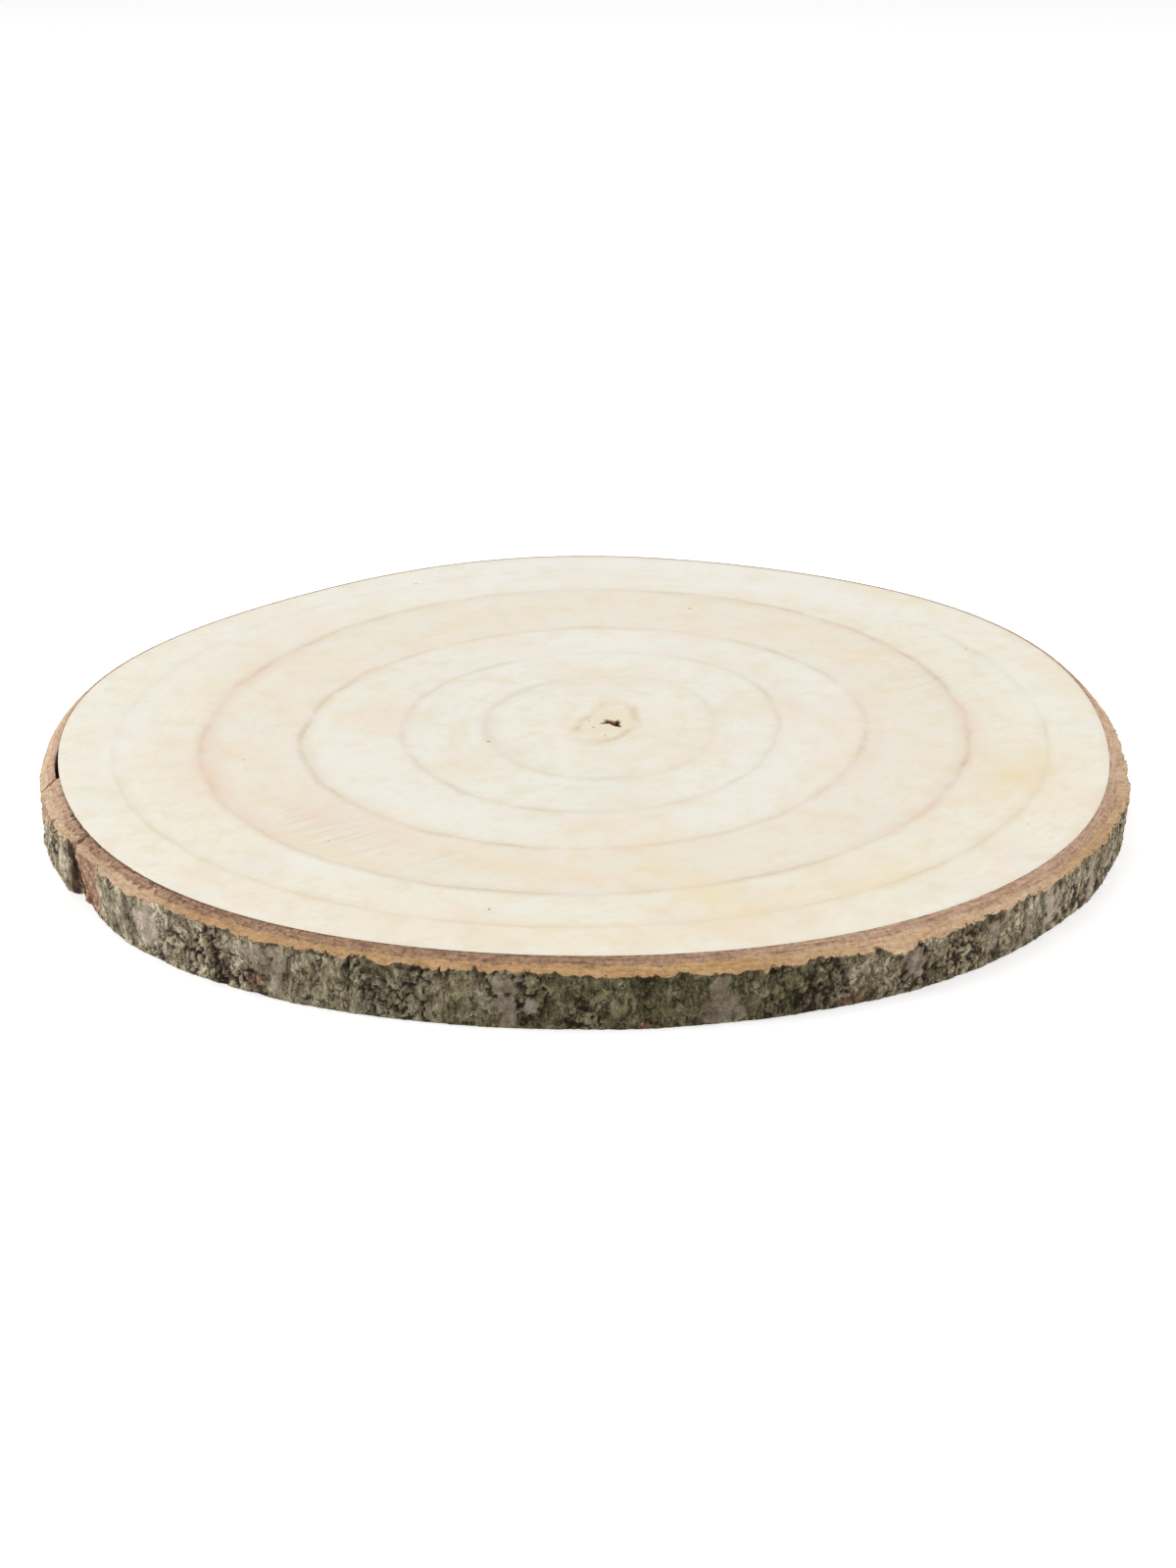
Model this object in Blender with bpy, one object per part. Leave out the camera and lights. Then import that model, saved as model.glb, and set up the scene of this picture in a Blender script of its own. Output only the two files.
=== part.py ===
"""A wood slice: one cross-cut of a pale, fast-grown trunk, with its bark still on.

The slice lies flat, +Z up, with its underside on z = 0 and its middle on the Z axis.
The wood is one sawn disc. The bark round it has dried and cracked through in two
places at the left, so it is two pieces: a long one that runs almost all the way round
and a short one between the two cracks. The front of the slice faces -Y.
"""

import math

import bmesh
import bpy
from mathutils import Vector, noise

MM = 0.001
FULL_TURN = 360.0

# The slice: about 300 mm across and 16 mm thick, cut square to the trunk.
THICKNESS = 16.0 * MM
WOOD_RADIUS = 146.0 * MM
# The middle of the wood's outline, which is not quite the middle of the whole slice.
TRUNK_AXIS = Vector((1.35 * MM, -1.73 * MM, 0.0))
# Slow swells of the trunk: lobes round the rim, height in mm, angle of one crest.
TRUNK_SWELLS = ((2, 1.9, 48.0), (3, 1.25, -47.0), (4, 0.6, 35.0), (5, 1.25, 25.5), (6, 0.6, -19.0))

# Bark thickness, with the same kind of swells.
BARK_THICKNESS = 5.4 * MM
BARK_SWELLS = ((1, 0.65, -73.0), (2, 0.4, -87.5), (3, 0.3, -31.0), (4, 0.35, -41.0))
# The bark keeps this clear of the wood where it is still tight.
SEAM = 0.3 * MM
# The saw tore the bark's top edge: it falls away from the wood's rim, over the inner bark
# and then more steeply over the cork, to where the weathered outside begins.
RIM_DROP = 0.2 * MM
INNER_BARK_SHARE = 0.5
INNER_BARK_DROP = 1.1 * MM
CORK_RAGGED = 0.8 * MM
CORK_TOOTH = 4.0 * MM
# How far below the face that edge lies, read off the photo: degrees round the slice and mm.
CORK_DROP = (
    (0, 1.7), (30, 2.2), (180, 2.2), (205, 2.3), (217, 2.4), (228, 1.5), (235, 1.1), (244, 1.2),
    (250, 1.1), (255, 1.7), (262, 1.7), (265, 1.5), (270, 2.5), (280, 2.7), (285, 2.3), (291, 2.1),
    (297, 2.6), (303, 2.6), (309, 1.5), (320, 1.2), (345, 1.3), (360, 1.7),
)
# How far the bark's foot stands out from its mean face: degrees and mm. Beside the deep
# crack the crust has crumbled away, and there the foot is dented.
FOOT_OUT = (
    (0, -0.5), (60, 0.0), (205, 0.0), (210, -0.7), (212.5, -1.8), (214.5, -3.0), (216.5, -2.2),
    (219, -1.0), (222, -0.3), (225, 0.2), (275, 0.0), (281, -0.6), (291, -1.1), (303, -1.2),
    (312, -1.9), (322, -1.9), (328, -1.1), (341, -0.7), (360, -0.5),
)

# Furrows run up the trunk, so on the slice's edge they stand upright.
FURROW_SPACING = 6.5 * MM
FURROW_LENGTH = 45.0 * MM
FURROW_DEPTH = 1.0 * MM
FURROW_WIDTH_SHARE = 0.2
FURROW_BEND = 0.06
# The mean of the furrow pattern, added back so that furrows leave the mean thickness alone.
FURROW_MEAN = 0.2
PLATE_WIDTH = 15.0 * MM
PLATE_HEIGHT = 0.6 * MM
FOOT_ROUNDING = 0.15 * MM
OUTSIDE_ROWS = 7
# Each pattern in the bark starts from its own place in the noise.
FURROW_SEED, TOOTH_SEED, PLATE_SEED, BEND_SEED = 3.0, 5.0, 7.0, 11.0

# The two cracks through the bark, all in degrees round the slice: where each meets the
# wood and how wide it stands open there. One slants on its way to the outside, and the deep
# one goes straight out and opens wider. The slant dies out along a lip on either side.
LIFT_CRACK = 196.6
LIFT_CRACK_WIDTH = 0.16
LIFT_CRACK_SLANT = 1.2
DEEP_CRACK = 212.0
DEEP_CRACK_WIDTH = 0.24
DEEP_CRACK_SPREAD = 0.7
CRACK_LIP = 3.0
# By the lift crack the far end of the long piece has come away from the wood.
LIFT_START = 187.0
LIFT_FULL = 193.5
LIFT_GAP = 1.0 * MM

# Sections through the bark, and corners of the wood's rim, are this many degrees apart.
STATION_STEP = 0.9

# The pith has dried out to a small ragged hole on each face. Its corners are swells too, in
# shares of its radius.
PITH_AT = Vector((6.8 * MM, -4.9 * MM, 0.0))
PITH_RADIUS = 3.1 * MM
PITH_DEPTH = 6.0 * MM
PITH_FLOOR_RADIUS = 1.2 * MM
PITH_SIDES = 16
PITH_WIDER = 1.15
PITH_NARROWER = 0.8
PITH_CORNERS = ((3, 0.28, -11.5), (5, 0.16, 0.0))

CREAM_WOOD = (0.86, 0.79, 0.63)
GREY_BARK = (0.16, 0.14, 0.10)
SMOOTHEST_CORNER = math.radians(40.0)
WELD = 0.01 * MM


def swell(swells, angle):
    """Sum of a list of swells at an angle, in the unit that their heights are in."""
    return sum(
        height * math.cos(lobes * (angle - math.radians(crest)))
        for lobes, height, crest in swells
    )


def smooth_step(low, high, value):
    """0 below low, 1 above high, and an even S between them."""
    share = min(1.0, max(0.0, (value - low) / (high - low)))
    return share * share * (3.0 - 2.0 * share)


def read_round(table, degrees):
    """The value of a table of (degrees, value) at any angle, straight from one to the next."""
    degrees %= FULL_TURN
    for (before, low), (after, high) in zip(table, table[1:]):
        if degrees <= after:
            return low + (high - low) * (degrees - before) / (after - before)


def wood_radius(angle):
    """Radius of the wood's rim from the trunk's axis."""
    return WOOD_RADIUS + swell(TRUNK_SWELLS, angle) * MM


def on_trunk(angle, radius, height):
    """A point given by its angle and radius about the trunk's axis, and its height."""
    return TRUNK_AXIS + Vector((radius * math.cos(angle), radius * math.sin(angle), height))


def upright_noise(angle, height, width, length, seed):
    """Smooth noise from -1 to 1 on the bark's outside, drawn out along the trunk."""
    around = Vector((math.cos(angle), math.sin(angle))) * WOOD_RADIUS / width
    return noise.noise(Vector((around.x, around.y, height / length + seed)))


def bark_relief(angle, height):
    """How far the weathered bark stands out from its mean face: furrows between raised plates."""
    bend = FURROW_BEND * upright_noise(angle, height, FURROW_LENGTH, FURROW_LENGTH, BEND_SEED)
    furrow = upright_noise(angle + bend, height, FURROW_SPACING, FURROW_LENGTH, FURROW_SEED)
    plate = upright_noise(angle, height, PLATE_WIDTH, FURROW_LENGTH, PLATE_SEED)
    groove = 1.0 - smooth_step(0.0, FURROW_WIDTH_SHARE, abs(furrow))
    return PLATE_HEIGHT * plate + FURROW_DEPTH * (FURROW_MEAN - groove)


def bark_section(degrees):
    """The bark cut through at one angle: (distance out from the wood, height) points,
    up the outside from the foot, over the torn top and down the seam with the wood."""
    angle = math.radians(degrees)
    lift = smooth_step(LIFT_START, LIFT_FULL, degrees - FULL_TURN)
    thick = BARK_THICKNESS + swell(BARK_SWELLS, angle) * MM
    seam = SEAM + LIFT_GAP * lift
    tooth = upright_noise(angle, 0.0, CORK_TOOTH, FURROW_LENGTH, TOOTH_SEED)
    shoulder = THICKNESS - read_round(CORK_DROP, degrees) * MM + CORK_RAGGED * tooth
    inner_top = THICKNESS - INNER_BARK_DROP
    foot_out = read_round(FOOT_OUT, degrees) * MM
    section = []
    for row in range(OUTSIDE_ROWS):
        share = row / (OUTSIDE_ROWS - 1)
        height = shoulder * share
        out = thick + bark_relief(angle, height) + foot_out * (1.0 - share)
        if row == 0:
            out -= FOOT_ROUNDING
            section.append(((seam + out) / 2, 0.0))
        section.append((out, height))
    inner_out = seam + (thick - seam) * INNER_BARK_SHARE
    section.append(((thick + inner_out) / 2, (shoulder + inner_top) / 2))
    section.append((inner_out, inner_top))
    section.append((seam, THICKNESS - RIM_DROP))
    section.append((seam, 0.0))
    return section


def bark_piece(name, start, end, start_lean, end_lean):
    """One length of bark, lofted from section to section between two cracks. The angles are
    in degrees, the leans say how far each end turns on its way from the wood to the outside,
    and the long piece ends after a full turn."""
    count = round((end - start) / STATION_STEP)
    shape = bmesh.new()
    rings = []
    for station in range(count + 1):
        degrees = start + (end - start) * station / count
        lean = start_lean * (1.0 - smooth_step(0.0, CRACK_LIP, degrees - start))
        lean += end_lean * (1.0 - smooth_step(0.0, CRACK_LIP, end - degrees))
        section = bark_section(degrees)
        reach = max(out for out, _ in section)
        ring = []
        for out, height in section:
            angle = math.radians(degrees + lean * out / reach)
            ring.append(shape.verts.new(on_trunk(angle, wood_radius(angle) + out, height)))
        rings.append(ring)
    for near, far in zip(rings, rings[1:]):
        for i in range(len(near)):
            shape.faces.new((near[i - 1], far[i - 1], far[i], near[i]))
    shape.faces.new(rings[0])
    shape.faces.new(rings[-1])
    bmesh.ops.recalc_face_normals(shape, faces=shape.faces)
    add_object(name, mesh_from(name, shape), GREY_BARK, roughness=0.9)


def mesh_from(name, shape):
    """Turns a bmesh into a mesh with smooth faces and sharp cut edges."""
    mesh = bpy.data.meshes.new(name)
    shape.to_mesh(mesh)
    shape.free()
    mesh.shade_smooth()
    mesh.set_sharp_from_angle(angle=SMOOTHEST_CORNER)
    return mesh


def add_object(name, mesh, colour, roughness):
    """Puts a mesh in the slice's collection with its own material."""
    piece = bpy.data.objects.new(name, mesh)
    slice_parts.objects.link(piece)
    material = bpy.data.materials.new(name)
    material.use_nodes = True
    surface = material.node_tree.nodes["Principled BSDF"]
    surface.inputs["Base Color"].default_value = (*colour, 1.0)
    surface.inputs["Roughness"].default_value = roughness
    surface.inputs["Metallic"].default_value = 0.0
    mesh.materials.clear()
    mesh.materials.append(material)
    return piece


def wood_blank():
    """The disc of wood before the pith is cut out: its rim's outline, extruded."""
    outline = bpy.data.curves.new("wood_outline", "CURVE")
    outline.dimensions = "2D"
    outline.fill_mode = "BOTH"
    outline.extrude = THICKNESS / 2
    rim = outline.splines.new("POLY")
    count = round(FULL_TURN / STATION_STEP)
    rim.points.add(count - 1)
    for i in range(count):
        angle = 2.0 * math.pi * i / count
        rim.points[i].co = (*on_trunk(angle, wood_radius(angle), 0.0), 1.0)
    rim.use_cyclic_u = True
    drawn = bpy.data.objects.new("wood_outline", outline)
    drawn.location.z = THICKNESS / 2
    slice_parts.objects.link(drawn)
    bpy.context.view_layer.update()

    evaluated = drawn.evaluated_get(bpy.context.evaluated_depsgraph_get())
    mesh = bpy.data.meshes.new_from_object(evaluated)
    place = drawn.matrix_world.copy()
    bpy.data.objects.remove(drawn)
    shape = bmesh.new()
    shape.from_mesh(mesh)
    bmesh.ops.remove_doubles(shape, verts=shape.verts, dist=WELD)
    bmesh.ops.recalc_face_normals(shape, faces=shape.faces)
    bpy.data.meshes.remove(mesh)
    blank = add_object("wood", mesh_from("wood", shape), CREAM_WOOD, roughness=0.6)
    blank.matrix_world = place
    return blank


def pith_cutter(name, face_height, upward):
    """A ragged tapering plug that cuts the pith's hole into one face."""
    past = 1.0 * MM
    depth = PITH_DEPTH + past
    shape = bmesh.new()
    bmesh.ops.create_cone(
        shape,
        cap_ends=True,
        segments=PITH_SIDES,
        radius1=PITH_FLOOR_RADIUS,
        radius2=PITH_RADIUS,
        depth=depth,
    )
    for corner in shape.verts:
        turn = math.atan2(corner.co.y, corner.co.x)
        ragged = 1.0 + swell(PITH_CORNERS, turn)
        corner.co.x *= PITH_WIDER * ragged
        corner.co.y *= PITH_NARROWER * ragged
        corner.co.z = (corner.co.z + depth / 2 - PITH_DEPTH) * upward
    bmesh.ops.recalc_face_normals(shape, faces=shape.faces)
    mesh = bpy.data.meshes.new(name)
    shape.to_mesh(mesh)
    shape.free()
    plug = bpy.data.objects.new(name, mesh)
    plug.location = PITH_AT + Vector((0.0, 0.0, face_height))
    plug.hide_render = True
    plug.display_type = "WIRE"
    cutters.objects.link(plug)
    return plug


def cut(piece, plug):
    """Takes the plug's shape out of the piece."""
    cutting = piece.modifiers.new(plug.name, "BOOLEAN")
    cutting.operation = "DIFFERENCE"
    cutting.solver = "EXACT"
    cutting.object = plug


for leftover in list(bpy.data.objects):
    bpy.data.objects.remove(leftover)

slice_parts = bpy.data.collections.new("wood_slice")
cutters = bpy.data.collections.new("cutters")
bpy.context.scene.collection.children.link(slice_parts)
bpy.context.scene.collection.children.link(cutters)

wood = wood_blank()
cut(wood, pith_cutter("pith_top_cutter", THICKNESS, 1.0))
cut(wood, pith_cutter("pith_under_cutter", 0.0, -1.0))

bark_piece(
    "bark_long",
    start=DEEP_CRACK + DEEP_CRACK_WIDTH / 2,
    end=FULL_TURN + LIFT_CRACK - LIFT_CRACK_WIDTH / 2,
    start_lean=DEEP_CRACK_SPREAD / 2,
    end_lean=LIFT_CRACK_SLANT,
)
bark_piece(
    "bark_short",
    start=LIFT_CRACK + LIFT_CRACK_WIDTH / 2,
    end=DEEP_CRACK - DEEP_CRACK_WIDTH / 2,
    start_lean=LIFT_CRACK_SLANT,
    end_lean=-DEEP_CRACK_SPREAD / 2,
)
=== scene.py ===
# %% [markdown]
# # A slice of a trunk, with its bark on
# The real thing is one cross-cut from a pale, fast-grown tree: a sawn disc of wood about
# 300 mm across and 16 mm thick, inside a ring of rough grey-green bark. This lesson dresses
# a plain solid model of it until it looks like the real slice from any side.
#
# The plain model comes first. It is the measured shape that everything else has to fit, so
# its box is kept, to compare with the finished slice at the end.

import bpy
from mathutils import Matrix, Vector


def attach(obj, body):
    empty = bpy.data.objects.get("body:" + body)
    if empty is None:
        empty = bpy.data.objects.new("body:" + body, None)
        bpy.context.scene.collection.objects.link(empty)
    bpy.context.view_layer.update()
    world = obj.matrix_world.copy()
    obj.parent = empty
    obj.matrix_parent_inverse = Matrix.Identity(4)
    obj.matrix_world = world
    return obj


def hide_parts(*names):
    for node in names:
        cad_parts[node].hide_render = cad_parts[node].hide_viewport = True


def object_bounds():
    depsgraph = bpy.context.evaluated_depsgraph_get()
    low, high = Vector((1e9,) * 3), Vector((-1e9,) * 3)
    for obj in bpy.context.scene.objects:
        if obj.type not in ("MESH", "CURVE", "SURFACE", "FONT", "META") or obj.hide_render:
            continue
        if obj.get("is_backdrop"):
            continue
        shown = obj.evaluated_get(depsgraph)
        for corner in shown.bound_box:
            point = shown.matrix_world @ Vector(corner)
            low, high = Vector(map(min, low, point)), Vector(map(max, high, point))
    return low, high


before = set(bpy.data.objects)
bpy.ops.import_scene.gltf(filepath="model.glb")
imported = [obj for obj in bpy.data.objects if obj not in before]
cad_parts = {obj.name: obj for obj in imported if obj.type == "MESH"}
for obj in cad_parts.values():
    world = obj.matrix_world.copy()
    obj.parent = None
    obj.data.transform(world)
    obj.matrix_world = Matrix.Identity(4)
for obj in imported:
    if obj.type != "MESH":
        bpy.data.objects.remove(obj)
cad_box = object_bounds()
print("plain solids:", sorted(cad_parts))

# %% [markdown]
# Blender works in metres, but a slice of wood is easier to think about in millimetres and
# degrees. One constant turns the first into the second. Angles go round the slice from its
# right-hand side (+X) by way of the back (+Y), and the front faces -Y.

# %% Units and tools
import math

import bmesh
import bpy
from mathutils import Vector, noise

MM = 0.001
FULL_TURN = 360.0
THICKNESS = 16.0 * MM


def smooth_step(low, high, value):
    """0 below low, 1 above high, and an even S between them."""
    share = min(1.0, max(0.0, (value - low) / (high - low)))
    return share * share * (3.0 - 2.0 * share)


def mix(a, b, share):
    """The number that lies that share of the way from a to b."""
    return a + (b - a) * share


# %% [markdown]
# A trunk is never a true circle. Its outline is a circle with a few slow swells, and a swell
# is a cosine: so many lobes round the rim, so high, with one crest at such an angle. Adding
# up four or five of them draws an outline that looks grown, and it needs only a short list.

# %% The trunk's outline
TRUNK_AXIS = Vector((1.35 * MM, -1.73 * MM, 0.0))
WOOD_RADIUS = 146.0
TRUNK_SWELLS = ((2, 1.9, 48.0), (3, 1.25, -47.0), (4, 0.6, 35.0), (5, 1.25, 25.5), (6, 0.6, -19.0))


def swell(swells, angle):
    """Sum of a list of swells (lobes, height, crest in degrees) at an angle in radians."""
    return sum(
        height * math.cos(lobes * (angle - math.radians(crest)))
        for lobes, height, crest in swells
    )


def wood_radius(angle):
    """Radius of the wood's rim from the trunk's axis, in metres."""
    return (WOOD_RADIUS + swell(TRUNK_SWELLS, angle)) * MM


def on_trunk(angle, radius, height):
    """A point given by its angle and radius about the trunk's axis, and its height."""
    return TRUNK_AXIS + Vector((radius * math.cos(angle), radius * math.sin(angle), height))


print("rim radius at the right: %.1f mm" % (wood_radius(0.0) / MM))

# %% [markdown]
# ## Camera, table and light
# A shop picture of such a slice is taken on a white table under large soft lights, from a
# little above. The camera's place and lens were worked out from the slice's outline in the
# photograph. The lens is about 55 mm on a 36 mm high frame: a normal, slightly long lens.

# %% Camera
CAMERA_AT = (0.76 * MM, -629.96 * MM, 267.3 * MM)
CAMERA_DOWN = 23.355
LENS = 55.2
FILM_HEIGHT = 36.0

camera_data = bpy.data.cameras.new("camera")
camera_data.sensor_fit = "VERTICAL"
camera_data.sensor_height = FILM_HEIGHT
camera_data.lens = LENS
camera = bpy.data.objects.new("camera", camera_data)
camera.location = CAMERA_AT
camera.rotation_euler = (math.radians(90.0 - CAMERA_DOWN), 0.0, 0.0)
bpy.context.scene.collection.objects.link(camera)
bpy.context.scene.camera = camera
print("camera: %.0f mm lens, looking %.1f degrees down" % (LENS, CAMERA_DOWN))

# %% [markdown]
# Colours are written as the hex codes that a paint program shows. Those are sRGB, and
# Blender's sockets want linear light, so one function turns them. The other helper adds a
# shader node: its own settings, then for each socket a value, or the output of another node
# that is linked to it. With these two, a material reads like a recipe.
#
# The "Standard" view shows a colour as it is, so a hex code lands in the picture unchanged.

# %% Colours and nodes
bpy.context.scene.view_settings.view_transform = "Standard"


def linear(code):
    """An sRGB hex colour such as "#ecdfc0" as the linear RGBA that Blender's sockets take."""
    shares = [int(code[i : i + 2], 16) / 255.0 for i in (1, 3, 5)]
    light = [s / 12.92 if s <= 0.04045 else ((s + 0.055) / 1.055) ** 2.4 for s in shares]
    return (*light, 1.0)


def node(tree, kind, inputs=None, stops=None, **settings):
    """Adds a shader node. Inputs are values, or outputs of other nodes, by socket name or
    number. Stops are the places and colours of a colour ramp."""
    added = tree.nodes.new("ShaderNode" + kind)
    for setting, value in settings.items():
        setattr(added, setting, value)
    for socket, value in (inputs or {}).items():
        if isinstance(value, bpy.types.NodeSocket):
            tree.links.new(value, added.inputs[socket])
        else:
            added.inputs[socket].default_value = value
    for i, (place, colour) in enumerate(stops or ()):
        elements = added.color_ramp.elements
        stop = elements[i] if i < 2 else elements.new(place)
        stop.position = place
        stop.color = linear(colour) if isinstance(colour, str) else (colour, colour, colour, 1.0)
    return added


# %% [markdown]
# The table is a big plain square just under the slice, of white laminate lit a little from
# within, as the acrylic top of a product table is. The light comes from a bright white room
# and three large panels: one above, a strong one at the left and a weaker one at the right.
# Large panels give soft shadows, and light from both sides leaves the front bark darkest.

# %% Table and light
TABLE_SIDE = 12.0
TABLE_BELOW = 0.05 * MM
ROOM_LIGHT = 0.56
PANELS = (
    ("panel_above", (0.0, 0.3, 2.2), 2.0, 8.0),
    ("panel_left", (-1.7, -0.25, 0.75), 1.3, 21.5),
    ("panel_right", (1.7, -0.25, 0.75), 1.3, 15.5),
)

bpy.ops.mesh.primitive_plane_add(size=TABLE_SIDE, location=(0.0, 0.0, -TABLE_BELOW))
table = bpy.context.object
table.name = "table"
laminate = bpy.data.materials.new("white_laminate")
laminate.use_nodes = True
top_coat = laminate.node_tree.nodes["Principled BSDF"]
top_coat.inputs["Base Color"].default_value = linear("#f4f4f4")
top_coat.inputs["Roughness"].default_value = 0.9
top_coat.inputs["Emission Color"].default_value = linear("#ffffff")
top_coat.inputs["Emission Strength"].default_value = 0.36
table.data.materials.append(laminate)
table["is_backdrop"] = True

room = bpy.data.worlds.new("room")
room.use_nodes = True
room.node_tree.nodes["Background"].inputs["Color"].default_value = linear("#ffffff")
room.node_tree.nodes["Background"].inputs["Strength"].default_value = ROOM_LIGHT
bpy.context.scene.world = room

for panel_name, place, side, watts in PANELS:
    panel = bpy.data.lights.new(panel_name, "AREA")
    panel.size = side
    panel.energy = watts
    lamp = bpy.data.objects.new(panel_name, panel)
    lamp.location = place
    lamp.rotation_euler = (-Vector(place)).to_track_quat("-Z", "Y").to_euler()
    bpy.context.scene.collection.objects.link(lamp)
print("light panels:", ", ".join(name for name, *_ in PANELS))

# %% [markdown]
# ## The wood
# The disc is sawn across the trunk, so each face shows the year rings as a map of the
# tree's growth. The rings aren't circles and don't share a middle: they are pushed outwards
# where the tree grew faster. Each ring is again a mean radius and a few swells, this time
# about the pith, in millimetres. A wide ring means a fast-grown, light, soft wood.
#
# The pith in the middle has dried out to a small ragged hole, and a faint brown loop round it
# shows how big the soft pith was. The hole isn't quite in the loop's middle, so it has its
# own. Its edge is too jagged for swells, and a list of points round it says it better.

# %% Rings and pith
PITH_AT = Vector((6.8 * MM, -4.9 * MM, 0.0))
RINGS = (
    (35.76, ((1, 2.87, -155.5), (2, 3.06, 83.8), (3, 0.54, 40.0), (4, 0.21, -27.5))),
    (56.1, ((1, 5.03, -166.9), (2, 3.86, 75.5), (3, 0.78, 39.7), (4, 0.27, -21.1))),
    (79.78, ((1, 6.7, -163.0), (2, 2.82, 60.2), (3, 0.32, 54.1), (4, 0.27, 15.6))),
    (109.85, ((1, 6.92, 156.9), (2, 3.74, 74.2), (3, 0.92, -27.9), (4, 0.19, 23.6))),
    (130.71, ((1, 8.27, 151.0), (2, 1.84, 65.1), (3, 1.25, -38.2), (4, 0.1, 6.4))),
)
# How dark each ring's line is, from the pith outwards, again with swells.
RING_INK = (
    (0.42, ((1, 0.1, 200.0),)),
    (0.7, ((1, 0.12, -60.0),)),
    (0.85, ((1, 0.1, 190.0), (2, 0.1, 20.0))),
    (0.95, ((1, 0.05, 200.0), (2, 0.15, 15.0))),
    (0.5, ((1, 0.1, -60.0),)),
)
PITH_LOOP = (10.8, ((1, 0.72, 172.5), (2, 3.51, 70.9), (3, 1.26, -19.5), (4, 0.99, -14.1), (5, 0.59, 15.0)))
# The hole's edge: degrees and mm from its own middle.
HOLE_AT = Vector((8.0 * MM, -4.4 * MM, 0.0))
HOLE_EDGE = (
    (0, 2.0), (25, 2.4), (44, 1.9), (55, 3.0), (64, 1.8), (77, 1.2), (100, 1.7), (121, 2.6),
    (138, 3.8), (146, 2.9), (172, 3.2), (190, 4.2), (200, 3.6), (211, 1.6), (240, 1.7), (270, 2.6),
    (292, 3.6), (302, 4.4), (316, 2.8), (337, 1.8), (360, 2.0),
)
HOLE_REACH = 20.0 * MM
PITH_DEPTH = 6.0 * MM
PITH_FLOOR_SHARE = 0.35


def swelled(shape, angle):
    """A mean and its swells at an angle in radians."""
    mean, swells = shape
    return mean + swell(swells, angle)


def rim_from_pith(angle):
    """Distance in metres from the pith to the rim, which is drawn about the trunk's axis."""
    reach = WOOD_RADIUS * MM
    for _ in range(12):
        spot = PITH_AT + Vector((math.cos(angle), math.sin(angle), 0.0)) * reach - TRUNK_AXIS
        reach += wood_radius(math.atan2(spot.y, spot.x)) - spot.length
    return reach


print("pith to rim: %.1f mm right, %.1f mm left" % (rim_from_pith(0) / MM, rim_from_pith(math.pi) / MM))

# %% [markdown]
# A material can't know where the rings are, so each point of the mesh carries the answer
# with it. One number, `growth`, says how many years old the tree was there: 0 at the pith,
# 1 on the first ring, 2 on the second, and 6 at the bark. Other numbers say how dark the
# nearest ring is, how far out the point is from the pith in pith loops, and how stained,
# flushed or chalky the wood is. The shader draws fine lines and colours from them.
#
# The stains are a few soft spots, each given by its angle and distance from the pith, how
# far it spreads round the tree and outwards, and how strong it is. `brushed` says where the
# saw's marks were left standing.

# %% Numbers that the wood carries
# Each spot: degrees, mm from the pith, mm of spread along the ring, mm across it, strength.
STAINS = (
    (229.0, 110.0, 18.0, 3.5, 0.45),
    (247.0, 93.0, 14.0, 8.0, 0.3),
    (262.0, 97.0, 16.0, 7.0, 0.35),
    (276.0, 90.0, 7.0, 14.0, 0.5),
    (281.0, 108.0, 6.0, 12.0, 0.65),
    (285.0, 122.0, 7.0, 8.0, 0.55),
    (300.0, 118.0, 18.0, 8.0, 0.6),
    (268.0, 134.0, 50.0, 7.0, 0.35),
    (342.0, 114.0, 18.0, 13.0, 0.75),
    (12.0, 136.0, 28.0, 6.0, 0.25),
    (50.0, 142.0, 22.0, 5.0, 0.4),
    (110.0, 96.0, 30.0, 8.0, 0.2),
    (40.0, 95.0, 22.0, 8.0, 0.25),
    (0.0, 20.0, 12.0, 8.0, 0.2),
)
FLUSHES = (
    (218.0, 97.0, 18.0, 9.0, 0.8),
    (205.0, 112.0, 28.0, 4.0, 0.9),
    (172.0, 112.0, 34.0, 3.5, 0.7),
    (200.0, 120.0, 16.0, 6.0, 0.4),
    (236.0, 92.0, 10.0, 5.0, 0.6),
    (2.0, 101.0, 20.0, 3.5, 0.9),
    (320.0, 101.0, 30.0, 3.5, 0.5),
    (350.0, 75.0, 22.0, 3.5, 0.5),
    (262.0, 100.0, 12.0, 5.0, 0.4),
    (176.0, 60.0, 14.0, 8.0, 0.35),
    (60.0, 60.0, 20.0, 5.0, 0.4),
    (12.0, 54.0, 14.0, 4.0, 0.5),
    (150.0, 124.0, 24.0, 10.0, 0.3),
    (95.0, 130.0, 16.0, 6.0, 0.3),
)
CHALK = (
    (90.0, 62.0, 36.0, 16.0, 0.9),
    (60.0, 130.0, 60.0, 10.0, 1.0),
    (8.0, 126.0, 30.0, 10.0, 0.8),
    (105.0, 130.0, 70.0, 14.0, 1.0),
    (88.0, 142.0, 80.0, 9.0, 1.0),
    (150.0, 134.0, 40.0, 9.0, 0.7),
    (185.0, 136.0, 34.0, 9.0, 0.9),
    (200.0, 72.0, 26.0, 12.0, 0.5),
    (235.0, 75.0, 22.0, 11.0, 0.6),
    (232.0, 118.0, 18.0, 5.0, 0.8),
    (258.0, 118.0, 16.0, 4.0, 0.5),
    (300.0, 62.0, 26.0, 12.0, 0.5),
    (340.0, 50.0, 24.0, 12.0, 0.5),
    (25.0, 68.0, 20.0, 7.0, 0.6),
)
BRUSHED = (
    (226.0, 101.0, 20.0, 10.0, 1.0),
    (243.0, 98.0, 13.0, 7.0, 0.6),
    (20.0, 96.0, 26.0, 13.0, 0.6),
)


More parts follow.
